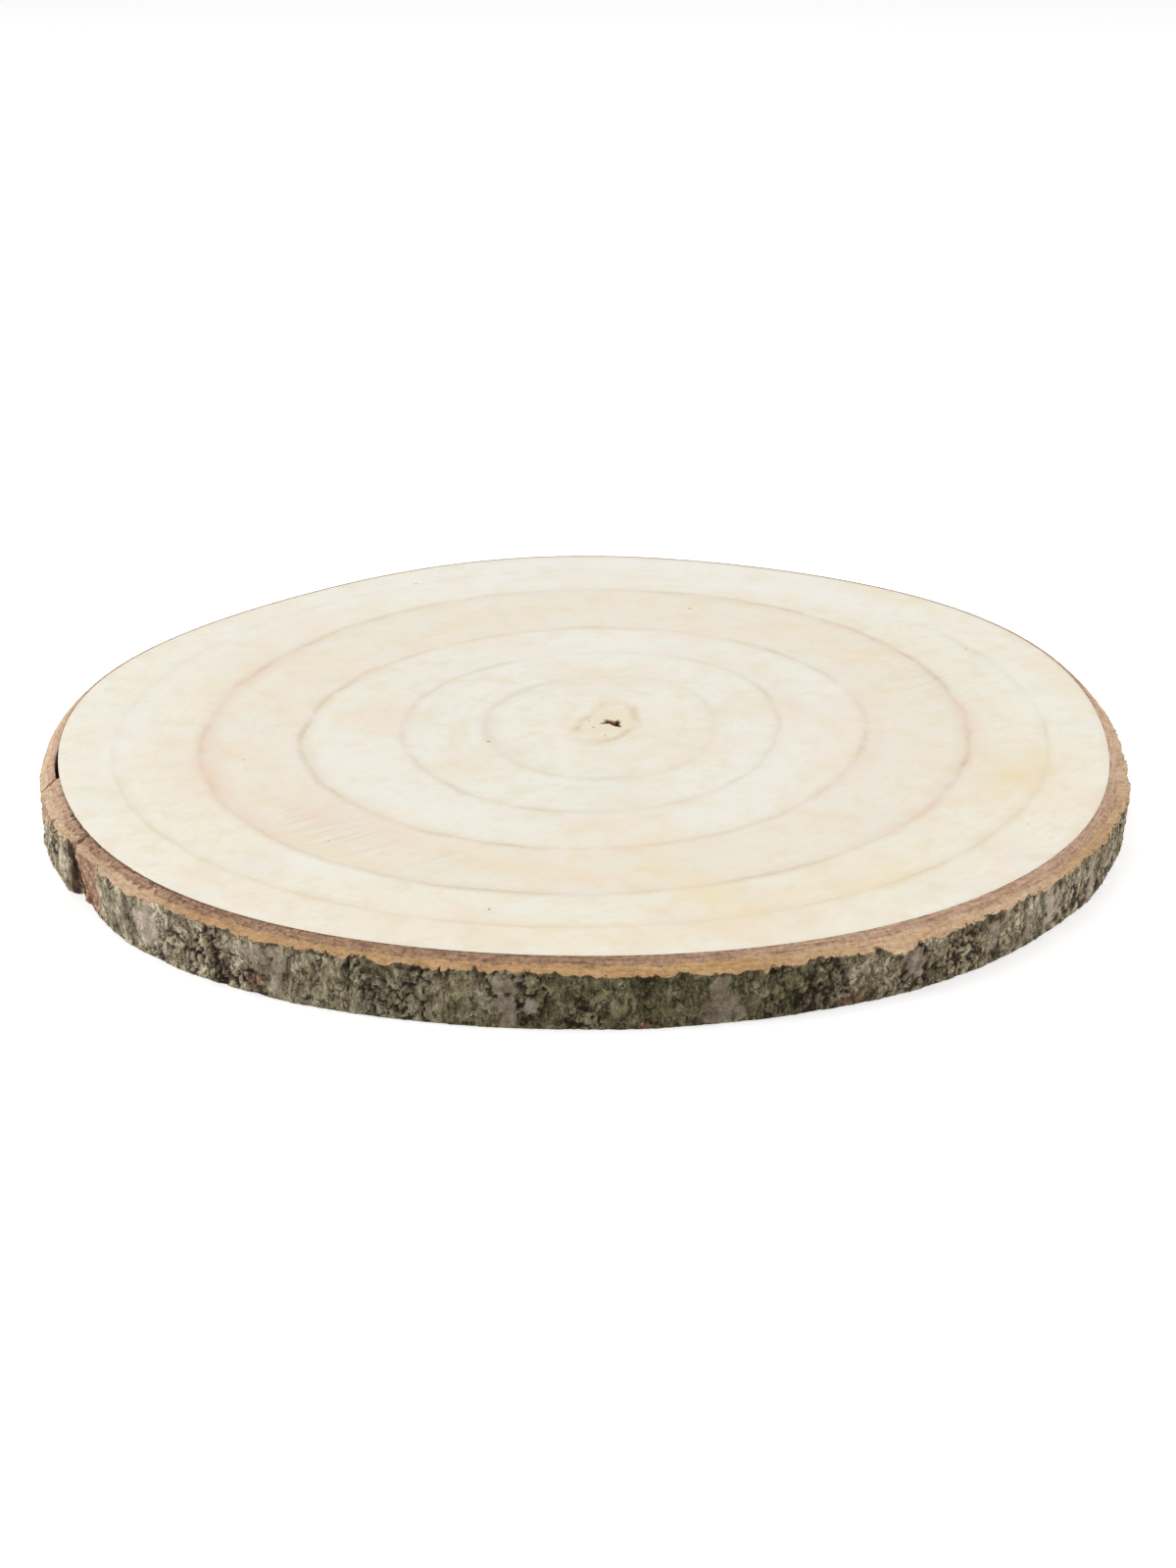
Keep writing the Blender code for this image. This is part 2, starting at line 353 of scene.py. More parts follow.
def ring_places(angle):
    """Where the pith, the rings and the rim lie at an angle, in metres, and how dark each is."""
    lines = [0.0] + [swelled(ring, angle) * MM for ring in RINGS] + [rim_from_pith(angle)]
    inks = [0.0] + [swelled(ink, angle) for ink in RING_INK] + [0.2]
    return lines, inks


def spot_strength(spots, angle, reach):
    """How strongly a point is covered by a list of soft spots, 0 to 1."""
    total = 0.0
    for degrees, distance, along, across, strength in spots:
        turn = (math.degrees(angle) - degrees + FULL_TURN / 2) % FULL_TURN - FULL_TURN / 2
        round_by = math.radians(turn) * distance / along
        out_by = (reach / MM - distance) / across
        total += strength * math.exp(-(round_by**2) - out_by**2)
    return min(1.0, total)


# %% [markdown]
# The mesh is a fan of columns round the pith. One column is the disc cut through from the
# middle: up the wall of the hole, out over the top face, down the rim, and back in over the
# underside. Its points stand closer together near the pith, where the hole needs them, and
# that comes for free if the distance grows as a power of the row number. A saw and a sander
# leave the face flat to about a tenth of a millimetre, so the relief is that small.

# %% The wood's mesh
WOOD_COLUMNS = 360
TOP_ROWS = 100
UNDER_ROWS = 62
HOLE_ROWS = 8
CROWDING = 1.4
RIM_BEVEL = 0.08 * MM
FACE_WAVE = 0.06 * MM
FACE_WAVE_WIDTH = 30.0 * MM
HOLE_RAG = 0.35 * MM
HOLE_RAG_WIDTH = 1.2 * MM


def between(value, places, results):
    """Reads results at value, straight from one place to the next."""
    for i in range(1, len(places)):
        if value <= places[i] or i == len(places) - 1:
            share = (value - places[i - 1]) / (places[i] - places[i - 1])
            return mix(results[i - 1], results[i], min(1.0, max(0.0, share)))


def wood_column(angle):
    """One cut from the hole's floor to the rim and back: (distance from pith, height, how
    deep it lies in the hole from 0 to 1)."""
    edge = between(math.degrees(angle), *zip(*HOLE_EDGE)) * MM
    rim = rim_from_pith(angle)
    up_wall = []
    for row in range(HOLE_ROWS):
        deep = 1.0 - row / HOLE_ROWS
        narrow = mix(1.0, PITH_FLOOR_SHARE, deep**0.7)
        spot = Vector((math.cos(angle) * edge, math.sin(angle) * edge, deep * PITH_DEPTH))
        rag = noise.noise(spot / HOLE_RAG_WIDTH) * HOLE_RAG * min(1.0, 3.0 * deep)
        up_wall.append((edge * narrow + rag * narrow, THICKNESS - PITH_DEPTH * deep, deep))
    faces = []
    for rows in (TOP_ROWS, UNDER_ROWS):
        steps = [(row / rows) ** CROWDING for row in range(rows + 1)]
        faces.append([(mix(edge, rim - RIM_BEVEL, step), 0.0) for step in steps])
    top = [(reach, THICKNESS, 0.0) for reach, _ in faces[0]]
    wall = [(rim, THICKNESS - RIM_BEVEL, 0.0), (rim, RIM_BEVEL, 0.0)]
    under = [(reach, 0.0, 0.0) for reach, _ in reversed(faces[1])]
    down_wall = [(reach, THICKNESS - height, deep) for reach, height, deep in reversed(up_wall)]
    return up_wall + top + wall + under + down_wall


def face_wave(spot):
    """How far the saw and the drying left the face below flat, never above it."""
    return FACE_WAVE * (0.5 + 0.5 * noise.noise(spot / FACE_WAVE_WIDTH))


# %% Build the wood
WOOD_NUMBERS = ("growth", "ink", "pith", "hole", "stain", "flush", "chalk", "brushed")


def mesh_object(name, shape, sharpest):
    """Turns a bmesh into an object with smooth faces and sharp cut edges."""
    bmesh.ops.recalc_face_normals(shape, faces=shape.faces)
    mesh = bpy.data.meshes.new(name)
    shape.to_mesh(mesh)
    shape.free()
    mesh.shade_smooth()
    mesh.set_sharp_from_angle(angle=math.radians(sharpest))
    piece = bpy.data.objects.new(name, mesh)
    bpy.context.scene.collection.objects.link(piece)
    print(name, "has", len(mesh.polygons), "faces")
    return piece


def build_wood():
    """The sawn disc, with the numbers that its material reads on every point."""
    shape = bmesh.new()
    told = {number: shape.verts.layers.float.new(number) for number in WOOD_NUMBERS}
    columns = []
    for column in range(WOOD_COLUMNS):
        angle = 2.0 * math.pi * column / WOOD_COLUMNS
        lines, inks = ring_places(angle)
        points = []
        for reach, height, deep in wood_column(angle):
            spot = PITH_AT + Vector((math.cos(angle) * reach, math.sin(angle) * reach, height))
            spot += (HOLE_AT - PITH_AT) * (1.0 - smooth_step(0.0, HOLE_REACH, reach))
            off = spot - PITH_AT
            loop = swelled(PITH_LOOP, math.atan2(off.y, off.x)) * MM
            if deep == 0.0 and height == THICKNESS:
                spot.z -= face_wave(spot)
            elif deep == 0.0 and height == 0.0:
                spot.z += face_wave(spot)
            point = shape.verts.new(spot)
            point[told["growth"]] = between(reach, lines, range(len(lines)))
            point[told["ink"]] = between(reach, lines, inks)
            point[told["pith"]] = math.hypot(off.x, off.y) / loop
            point[told["hole"]] = deep
            point[told["stain"]] = spot_strength(STAINS, angle, reach)
            point[told["flush"]] = spot_strength(FLUSHES, angle, reach)
            point[told["chalk"]] = spot_strength(CHALK, angle, reach)
            point[told["brushed"]] = spot_strength(BRUSHED, angle, reach)
            points.append(point)
        columns.append(points)
    for near, far in zip(columns, columns[1:] + columns[:1]):
        for i in range(len(near) - 1):
            shape.faces.new((near[i], far[i], far[i + 1], near[i + 1]))
    for end, height in ((0, THICKNESS - PITH_DEPTH), (-1, PITH_DEPTH)):
        middle = shape.verts.new(HOLE_AT + Vector((0.0, 0.0, height)))
        middle[told["hole"]] = 1.0
        for near, far in zip(columns, columns[1:] + columns[:1]):
            shape.faces.new((near[end], far[end], middle))
    return mesh_object("sawn_disc", shape, 50.0)


sawn_disc = build_wood()
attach(sawn_disc, "root")
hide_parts("wood")

# %% [markdown]
# ## The wood's finish: pale poplar, sawn and sanded
# Poplar, like basswood, is a light, soft, nearly white hardwood with hardly any grain. Sawn
# across and sanded, and left bare, it is quite matt: roughness 0.7 on dry fibres with an IOR
# of 1.5. What gives the eye something to hold is the slow change from cream to biscuit from
# year to year, with a thin darker line where each year's growth stopped.
#
# The recipe starts with those year colours, from `growth` with a little wobble, because no
# ring is drawn with a ruler.

# %% Year colours
# Sockets of Blender's Mix node when it mixes colours.
SHARE, FIRST, SECOND, MIXED = 0, 6, 7, 2


def per_mm(size):
    """The scale that makes a noise about so many millimetres across."""
    return 1.0 / (size * MM)


poplar = bpy.data.materials.new("sanded_poplar")
poplar.use_nodes = True
wood_tree = poplar.node_tree
wood_face = wood_tree.nodes["Principled BSDF"]
wood_place = node(wood_tree, "TexCoord").outputs["Object"]
wood_told = {
    number: node(wood_tree, "Attribute", attribute_name=number).outputs["Fac"]
    for number in WOOD_NUMBERS
}

ring_wobble = node(wood_tree, "TexNoise", {"Vector": wood_place, "Scale": per_mm(14.0), "Detail": 4.0})
wobbled = node(
    wood_tree,
    "Math",
    {0: ring_wobble.outputs["Fac"], 1: 0.12, 2: wood_told["growth"]},
    operation="MULTIPLY_ADD",
)
years = node(wood_tree, "Math", {0: wobbled.outputs[0], 1: -0.06}, operation="ADD").outputs[0]
year_share = node(wood_tree, "Math", {0: years, 1: 1 / 6}, operation="MULTIPLY").outputs[0]
year_colour = node(
    wood_tree,
    "ValToRGB",
    {"Fac": year_share},
    stops=(
        (0.0, "#eae3d5"),
        (0.07, "#ece8dd"),
        (0.14, "#ebe9df"),
        (0.32, "#eae9e0"),
        (0.36, "#eae7dc"),
        (0.49, "#ece8dd"),
        (0.52, "#eae4d7"),
        (0.655, "#eae4d6"),
        (0.68, "#ece7d8"),
        (0.83, "#ede8d9"),
        (1.0, "#efebde"),
    ),
).outputs["Color"]
print("years from pith to bark:", len(RINGS) + 1)

# %% [markdown]
# The line of a ring has a soft inner side, where growth slows down through the summer, and
# a crisp outer side, where it stopped for the winter. The fraction of `growth` runs from 0
# to 1 inside each year, so one ramp on it draws that profile on all the rings. `ink` makes
# some of them fainter, and a slow noise breaks each one up along its way.

# %% Ring lines
line_blur = node(wood_tree, "TexNoise", {"Vector": wood_place, "Scale": per_mm(1.8), "Detail": 3.0})
line_years = node(
    wood_tree,
    "Math",
    {0: line_blur.outputs["Fac"], 1: 0.07, 2: years},
    operation="MULTIPLY_ADD",
).outputs[0]
line_years = node(wood_tree, "Math", {0: line_years, 1: -0.035}, operation="ADD").outputs[0]
in_year = node(wood_tree, "Math", {0: line_years}, operation="FRACT").outputs[0]
line_profile = node(
    wood_tree,
    "ValToRGB",
    {"Fac": in_year},
    stops=((0.0, 0.9), (0.03, 0.3), (0.1, 0.0), (0.84, 0.0), (0.93, 0.3), (0.975, 0.95), (1.0, 0.9)),
).outputs["Color"]
broken = node(wood_tree, "TexNoise", {"Vector": wood_place, "Scale": per_mm(16.0), "Detail": 4.0})
broken_share = node(
    wood_tree,
    "MapRange",
    {"Value": broken.outputs["Fac"], "From Min": 0.35, "From Max": 0.62, "To Min": 0.3, "To Max": 1.15},
).outputs["Result"]
inked = node(wood_tree, "Math", {0: wood_told["ink"], 1: broken_share}, operation="MULTIPLY").outputs[0]
line_share = node(wood_tree, "Math", {0: line_profile, 1: inked}, operation="MULTIPLY").outputs[0]
line_colour = node(
    wood_tree,
    "Mix",
    {SHARE: wood_told["flush"], FIRST: linear("#cfbba2"), SECOND: linear("#d3ae96")},
    data_type="RGBA",
).outputs[MIXED]
ringed = node(
    wood_tree,
    "Mix",
    {SHARE: line_share, FIRST: year_colour, SECOND: line_colour},
    data_type="RGBA",
).outputs[MIXED]

# %% [markdown]
# Between the year lines a tree lays down fainter ones, after a dry week or a cold spell. A
# one-dimensional noise along `growth` draws them without any more geometry. The stains, the
# pink flush and the chalky patches are then laid over, each torn at its edges by a noise.

# %% False rings, stains and chalk
false_rings = node(
    wood_tree,
    "TexNoise",
    {"W": years, "Scale": 11.0, "Detail": 2.0},
    noise_dimensions="1D",
).outputs["Fac"]
false_share = node(
    wood_tree,
    "MapRange",
    {"Value": false_rings, "From Min": 0.4, "From Max": 0.75, "To Min": 0.0, "To Max": 0.16},
).outputs["Result"]
false_share = node(wood_tree, "Math", {0: false_share, 1: broken_share}, operation="MULTIPLY").outputs[0]
surface_colour = node(
    wood_tree,
    "Mix",
    {SHARE: false_share, FIRST: ringed, SECOND: linear("#ddd0b8")},
    data_type="RGBA",
).outputs[MIXED]
# The slow tints that dampness left: a warm one, a cool one and a small-patched straw one.
for size, low, high, most, tint in (
    (23.0, 0.5, 0.66, 0.5, "#ecd9c6"),
    (17.0, 0.5, 0.66, 0.5, "#e5e6df"),
    (8.0, 0.48, 0.66, 0.5, "#e5d8ba"),
    (2.6, 0.5, 0.7, 0.22, "#ddd0b9"),
):
    slow = node(wood_tree, "TexNoise", {"Vector": wood_place, "Scale": per_mm(size), "Detail": 5.0})
    shown = node(
        wood_tree,
        "MapRange",
        {"Value": slow.outputs["Fac"], "From Min": low, "From Max": high, "To Min": 0.0, "To Max": most},
    ).outputs["Result"]
    surface_colour = node(
        wood_tree,
        "Mix",
        {SHARE: shown, FIRST: surface_colour, SECOND: linear(tint)},
        data_type="RGBA",
    ).outputs[MIXED]
torn = node(wood_tree, "TexNoise", {"Vector": wood_place, "Scale": per_mm(9.0), "Detail": 5.0}).outputs["Fac"]
torn_share = node(
    wood_tree,
    "MapRange",
    {"Value": torn, "From Min": 0.32, "From Max": 0.62, "To Min": 0.35, "To Max": 1.0},
).outputs["Result"]
for number, most, tint in (("chalk", 0.85, "#eeede8"), ("flush", 0.8, "#e8d2c1"), ("stain", 0.9, "#ead5a8")):
    covered = node(
        wood_tree,
        "Math",
        {0: wood_told[number], 1: torn_share},
        operation="MULTIPLY",
    ).outputs[0]
    covered = node(wood_tree, "Math", {0: covered, 1: most}, operation="MULTIPLY").outputs[0]
    surface_colour = node(
        wood_tree,
        "Mix",
        {SHARE: covered, FIRST: surface_colour, SECOND: linear(tint)},
        data_type="RGBA",
    ).outputs[MIXED]

# %% [markdown]
# The band saw left fine straight marks, all one way. Sanding took them nearly all off, apart
# from a few patches where `brushed` is high. They are a noise squeezed to 1.4 mm across the
# marks and drawn out to 18 mm along them. Real vessels in poplar are only 0.1 mm wide, so
# the pores are drawn as coarse as 0.6 mm to show at all.

# %% Saw lines and pores
SAW_TURN = math.radians(35.0)
sawn_along = node(
    wood_tree,
    "Mapping",
    {"Vector": wood_place, "Rotation": (0.0, 0.0, SAW_TURN), "Scale": (18.0 * MM, 1.4 * MM, 18.0 * MM)},
    vector_type="TEXTURE",
).outputs["Vector"]
saw_lines = node(wood_tree, "TexNoise", {"Vector": sawn_along, "Scale": 1.0, "Detail": 2.0}).outputs["Fac"]
pores = node(wood_tree, "TexNoise", {"Vector": wood_place, "Scale": per_mm(0.6), "Detail": 2.0}).outputs["Fac"]
saw_most = node(
    wood_tree,
    "MapRange",
    {"Value": wood_told["brushed"], "From Min": 0.0, "From Max": 1.0, "To Min": 0.09, "To Max": 0.7},
).outputs["Result"]
for pattern, low, high, most in ((saw_lines, 0.45, 0.72, saw_most), (pores, 0.55, 0.8, 0.25)):
    shown = node(
        wood_tree,
        "MapRange",
        {"Value": pattern, "From Min": low, "From Max": high, "To Min": 0.0, "To Max": most},
    ).outputs["Result"]
    surface_colour = node(
        wood_tree,
        "Mix",
        {SHARE: shown, FIRST: surface_colour, SECOND: linear("#d9c8b0")},
        data_type="RGBA",
    ).outputs[MIXED]

# %% [markdown]
# The pith was soft and darker than the wood. Its brown outline is a soft smear where the
# `pith` number passes 1. One noise makes it wander and another lets it come and go. The
# hole's walls are old and brown, and they get little light, so they look almost black.

# %% Pith
wander = node(wood_tree, "TexNoise", {"Vector": wood_place, "Scale": per_mm(3.0), "Detail": 3.0}).outputs["Fac"]
pith_reach = node(
    wood_tree,
    "Math",
    {0: wander, 1: 0.5, 2: wood_told["pith"]},
    operation="MULTIPLY_ADD",
).outputs[0]
pith_tint = node(
    wood_tree,
    "ValToRGB",
    {"Fac": pith_reach},
    stops=((0.0, 0.75), (0.95, 0.45), (1.0, 0.1)),
).outputs["Color"]
surface_colour = node(
    wood_tree,
    "Mix",
    {SHARE: pith_tint, FIRST: surface_colour, SECOND: linear("#e6d9b8")},
    data_type="RGBA",
).outputs[MIXED]
off_loop = node(wood_tree, "Math", {0: pith_reach, 1: 1.2}, operation="SUBTRACT").outputs[0]
off_loop = node(wood_tree, "Math", {0: off_loop}, operation="ABSOLUTE").outputs[0]
loop_line = node(
    wood_tree,
    "MapRange",
    {"Value": off_loop, "From Min": 0.0, "From Max": 0.27, "To Min": 0.8, "To Max": 0.0},
).outputs["Result"]
loop_gaps = node(wood_tree, "TexNoise", {"Vector": wood_place, "Scale": per_mm(7.0), "Detail": 3.0})
loop_share = node(
    wood_tree,
    "MapRange",
    {"Value": loop_gaps.outputs["Fac"], "From Min": 0.38, "From Max": 0.62, "To Min": 0.25, "To Max": 1.0},
).outputs["Result"]
loop_line = node(wood_tree, "Math", {0: loop_line, 1: loop_share}, operation="MULTIPLY").outputs[0]
surface_colour = node(
    wood_tree,
    "Mix",
    {SHARE: loop_line, FIRST: surface_colour, SECOND: linear("#d8bf98")},
    data_type="RGBA",
).outputs[MIXED]
hole_share = node(
    wood_tree,
    "MapRange",
    {"Value": wood_told["hole"], "From Min": 0.0, "From Max": 0.1},
).outputs["Result"]
surface_colour = node(
    wood_tree,
    "Mix",
    {SHARE: hole_share, FIRST: surface_colour, SECOND: linear("#7d5a33")},
    data_type="RGBA",
).outputs[MIXED]

# %% [markdown]
# A few dark specks lie on the top: pin knots and dots of dirt a millimetre wide. Each is a
# distance from its own place, bent by a noise so that it isn't a perfect dot.

# %% Specks
# Each speck: degrees and mm from the pith, and its size in mm.
SPECKS = (
    (202.0, 36.0, 0.9),
    (195.0, 102.5, 0.7),
    (228.0, 106.0, 0.5),
    (75.0, 101.0, 0.9),
    (117.0, 137.0, 0.8),
    (256.0, 121.0, 0.8),
    (29.0, 124.0, 0.7),
    (327.0, 126.0, 0.6),
    (166.0, 6.0, 0.5),
    (196.0, 8.5, 0.4),
    (215.0, 5.5, 0.7),
    (262.0, 9.0, 0.5),
)
bent_place = node(
    wood_tree,
    "VectorMath",
    {
        0: node(wood_tree, "TexNoise", {"Vector": wood_place, "Scale": per_mm(0.9)}).outputs["Color"],
        1: (0.9 * MM, 0.9 * MM, 0.9 * MM),
        2: wood_place,
    },
    operation="MULTIPLY_ADD",
).outputs["Vector"]
for degrees, distance, size in SPECKS:
    turn = math.radians(degrees)
    speck = PITH_AT + Vector((math.cos(turn), math.sin(turn), 0.0)) * distance * MM
    speck += Vector((0.45 * MM, 0.45 * MM, THICKNESS + 0.4 * MM))
    away = node(wood_tree, "VectorMath", {0: bent_place, 1: speck}, operation="DISTANCE").outputs["Value"]
    dotted = node(
        wood_tree,
        "MapRange",
        {"Value": away, "From Min": 0.3 * size * MM, "From Max": 0.8 * size * MM, "To Min": 0.65, "To Max": 0.0},
    ).outputs["Result"]
    surface_colour = node(
        wood_tree,
        "Mix",
        {SHARE: dotted, FIRST: surface_colour, SECOND: linear("#6d5a40")},
        data_type="RGBA",
    ).outputs[MIXED]
print("specks on the top:", len(SPECKS))

# %% [markdown]
# The last cell of the recipe plugs the colour in and gives the face its touch: matt, a bit
# smoother on the hard ring lines, with the saw lines and pores as a slight bump.

# %% Finish the wood
wood_tree.links.new(surface_colour, wood_face.inputs["Base Color"])
matt = node(
    wood_tree,
    "MapRange",
    {"Value": line_share, "From Min": 0.0, "From Max": 1.0, "To Min": 0.74, "To Max": 0.62},
).outputs["Result"]
wood_tree.links.new(matt, wood_face.inputs["Roughness"])
wood_face.inputs["IOR"].default_value = 1.5
wood_face.inputs["Specular IOR Level"].default_value = 0.35
touch = node(wood_tree, "Math", {0: saw_lines, 1: pores}, operation="ADD").outputs[0]
wood_bump = node(wood_tree, "Bump", {"Height": touch, "Strength": 0.25, "Distance": 0.1 * MM})
wood_tree.links.new(wood_bump.outputs["Normal"], wood_face.inputs["Normal"])
sawn_disc.data.materials.append(poplar)
print("wood finish:", len(wood_tree.nodes), "nodes")

# %% [markdown]
# ## The bark
# From the wood outwards, bark has three layers. The inner bark is brown and fibrous, and its
# fibres run round the slice where the saw tore them. The cork outside it is tan and grainy.
# The outermost crust is dead and weathered, with upright furrows, flakes and a skin of moss
# and lichen. The saw tore the top edge away in a slope, so all three show from above.
#
# The bark's thickness has swells of its own, and it keeps a hair's breadth clear of the
# wood. At the left it has cracked through twice, and beside the first crack the end of the
# long piece has come away from the wood, so a dark gap stands open there. By the other
# crack the crust has broken off, and the foot of the bark is dented.
#
# What changes unevenly round the slice is given as a table of degrees and values, because a
# handful of measured places says it better than any formula.

# %% The bark's measures
BARK_THICKNESS = 5.4
BARK_SWELLS = ((1, 0.65, -73.0), (2, 0.4, -87.5), (3, 0.3, -31.0), (4, 0.35, -41.0))
SEAM = 0.02 * MM
RIM_DROP = 0.05 * MM
INNER_BARK_SHARE = 0.5
INNER_BARK_DROP = 1.1 * MM
# How far below the face the crust's top edge lies, in mm.
CORK_DROP = (
    (0, 2.0), (8, 2.8), (20, 3.0), (180, 3.0), (195, 2.6), (206, 2.1), (212, 1.4), (219, 0.8),
    (224, 2.0), (229, 0.9), (235, 1.4), (244, 1.4), (250, 1.1), (255, 1.6), (262, 1.6), (265, 1.3),
    (270, 2.4), (280, 2.8), (285, 2.5), (291, 1.9), (296, 2.6), (302, 2.9), (309, 1.4), (318, 1.1),
    (345, 1.2), (360, 2.0),
)
# How much the bark's thickness differs from its swells, in mm: it is thin at the far sides.
THICKNESS_CHANGE = (
    (0, -0.9), (8, -0.8), (25, -0.5), (45, -0.3), (60, 0.0), (120, 0.0), (140, -0.5), (155, -0.8),
    (178, -0.8), (188, -0.6), (193, -0.1), (196.5, 0.6), (203, 0.5), (207, 0.0), (346, 0.0),
    (356, -0.8), (360, -1.0),
)
# How jagged the crust's torn top edge is.
JAGGED = (
    (0, 0.3), (10, 0.1), (180, 0.1), (195, 0.4), (210, 0.8), (260, 1.0), (285, 1.0), (300, 1.5),
    (340, 1.5), (352, 0.8), (360, 0.6),
)
# How far the foot stands out from the bark's mean outline, in mm.
FOOT_OUT = (
    (0, -0.5), (60, 0.0), (208, 0.0), (211.5, -0.4), (212.5, -1.1), (214.5, -2.1), (216.5, -1.4),
    (219, -0.7), (222, -0.2), (225, 0.2), (275, 0.0), (281, -0.6), (291, -1.1), (303, -1.2),
    (312, -1.9), (322, -1.9), (328, -1.1), (341, -0.7), (360, -0.5),
)
# How much of the seam between wood and bark is crumbled open, 0 to 1.
CRUMBLED = ((0, 0.0), (203, 0.0), (205, 1.0), (214, 0.9), (222, 0.5), (226, 0.0), (360, 0.0))
LIFT_CRACK, LIFT_CRACK_WIDTH, LIFT_CRACK_SLANT = 196.6, 0.16, 1.2
DEEP_CRACK, DEEP_CRACK_WIDTH = 212.0, 0.24
DEEP_CRACK_SPREAD = 0.7
CRACK_LIP = 3.0
LIFT_START, LIFT_FULL, LIFT_GAP = 187.0, 193.5, 0.95 * MM


def read_round(table, degrees):
    """Reads a table of (degrees, value) at any angle."""
    return between(degrees % FULL_TURN, *zip(*table))


def bark_thickness(angle):
    """Mean thickness of the bark at an angle, in metres."""
    change = read_round(THICKNESS_CHANGE, math.degrees(angle))
    return (BARK_THICKNESS + swell(BARK_SWELLS, angle) + change) * MM


def upright_noise(angle, height, width, length, seed):
    """Smooth noise from -1 to 1 on the bark's outside, drawn out along the trunk."""
    around = Vector((math.cos(angle), math.sin(angle))) * WOOD_RADIUS * MM / width
    return noise.noise(Vector((around.x, around.y, height / length + seed)))


print("bark: %.1f mm thick at the front" % (bark_thickness(math.radians(270.0)) / MM))

# %% [markdown]
# The crust's relief is a formula, in layers as in nature. Slow plates and upright furrows
# come first, and they are the same as on the plain solid. Over them lie flakes: a Voronoi
# pattern gives each flake its own cell, stretched upright, and the line where two cells meet
# is a crevice. Lumps of lichen a millimetre or two across roughen it all.
#
# Here and there a flake has fallen off, and under it the bark is smooth and grey-mauve.
# Those places are listed, with a step at their edge that is painted dark as shade. Other
# short lists say where the bark is broken to red-brown and where it is mossy. Crevices and
# furrows get painted shade too.

# %% The crust's relief
FURROW_SPACING, FURROW_LENGTH = 6.5 * MM, 45.0 * MM
FURROW_DEPTH, MOSSY_FURROW_DEPTH = 0.62 * MM, 0.35 * MM
FURROW_WIDTH_SHARE, FURROW_BEND, FURROW_MEAN = 0.2, 0.06, 0.2
PLATE_WIDTH, PLATE_HEIGHT = 15.0 * MM, 0.6 * MM
FURROW_SEED, TOOTH_SEED, PLATE_SEED, BEND_SEED = 3.0, 5.0, 7.0, 11.0
FLAKE_WIDTH, FLAKE_TALL, FLAKE_BEND = 3.0 * MM, 4.4 * MM, 0.5
FLAKE_STEP, CREVICE_DEPTH = 0.5 * MM, 0.65 * MM
# noise_vector starts from a seed that differs each run unless one is set.
FLAKE_SEED = 4
noise.seed_set(FLAKE_SEED)
LUMPS = ((2.6 * MM, 0.28 * MM), (1.1 * MM, 0.24 * MM))
FOOT_CALM, FOOT_REACH = 0.4, 1.6 * MM
# How mossy the crust is. Moss fills the furrows.
MOSS = (
    (0, 0.15), (60, 0.4), (100, 0.6), (140, 0.4), (180, 0.1), (231, 0.1), (240, 0.3), (250, 0.7),
    (262, 0.9), (276, 1.0), (288, 0.8), (296, 0.45), (304, 0.4), (312, 0.15), (330, 0.15), (360, 0.15),
)
# Each place: degrees, height in mm, half its width in degrees, half its height in mm.
SMOOTH_PLACES = (
    (226.7, 7.4, 1.7, 4.8),
    (239.6, 10.8, 2.4, 2.4),
    (241.7, 6.5, 0.75, 6.5),
    (262.6, 11.2, 1.6, 2.3),
    (262.9, 4.0, 0.9, 4.0),
    (264.7, 6.0, 0.6, 1.9),
    (281.2, 8.6, 0.9, 3.4),
    (281.5, 4.2, 1.7, 3.6),
    (299.5, 7.5, 1.2, 5.0),
    (309.0, 8.0, 0.7, 4.2),
    (317.6, 7.5, 0.8, 5.0),
    (325.6, 8.0, 0.9, 5.5),
    (346.0, 6.0, 1.3, 4.4),
    (18.0, 8.0, 1.5, 3.6),
    (57.0, 5.0, 1.2, 4.0),
    (96.0, 8.5, 1.6, 3.4),
    (131.0, 5.0, 1.4, 4.2),
    (168.0, 7.0, 1.2, 4.6),
)
RED_PLACES = (
    (214.6, 3.0, 1.5, 3.2),
    (239.4, 3.2, 0.9, 2.0),
    (274.6, 1.6, 0.6, 1.0),
    (293.8, 1.6, 0.9, 1.3),
    (40.0, 4.0, 1.0, 2.6),
    (146.0, 9.0, 0.8, 2.6),
)
# Where the whole crust has broken off, down to the cork.
BROKEN_PLACES = ((215.3, 8.0, 3.0, 14.0), (200.0, 13.8, 4.4, 4.6))
BROKEN_STEP = 0.4 * MM


def crust_noise(angle, height, width, tall):
    """The spot in the noise's own space for a pattern of that width and height."""
    radius = WOOD_RADIUS * MM
    return Vector((math.cos(angle) * radius / width, math.sin(angle) * radius / width, height / tall))


def place_mask(places, angle, height, torn_by):
    """1 inside any listed place, 0 outside, with an uneven edge."""
    degrees = math.degrees(angle) % FULL_TURN
    most = 0.0
    for middle, mid_height, half_width, half_height in places:
        turn = (degrees - middle + FULL_TURN / 2) % FULL_TURN - FULL_TURN / 2
        if abs(turn) < 2.0 * half_width:
            off = (abs(turn / half_width) ** 3 + abs((height / MM - mid_height) / half_height) ** 3) ** (1 / 3)
            most = max(most, 1.0 - smooth_step(0.85, 1.1, off + torn_by))
    return most


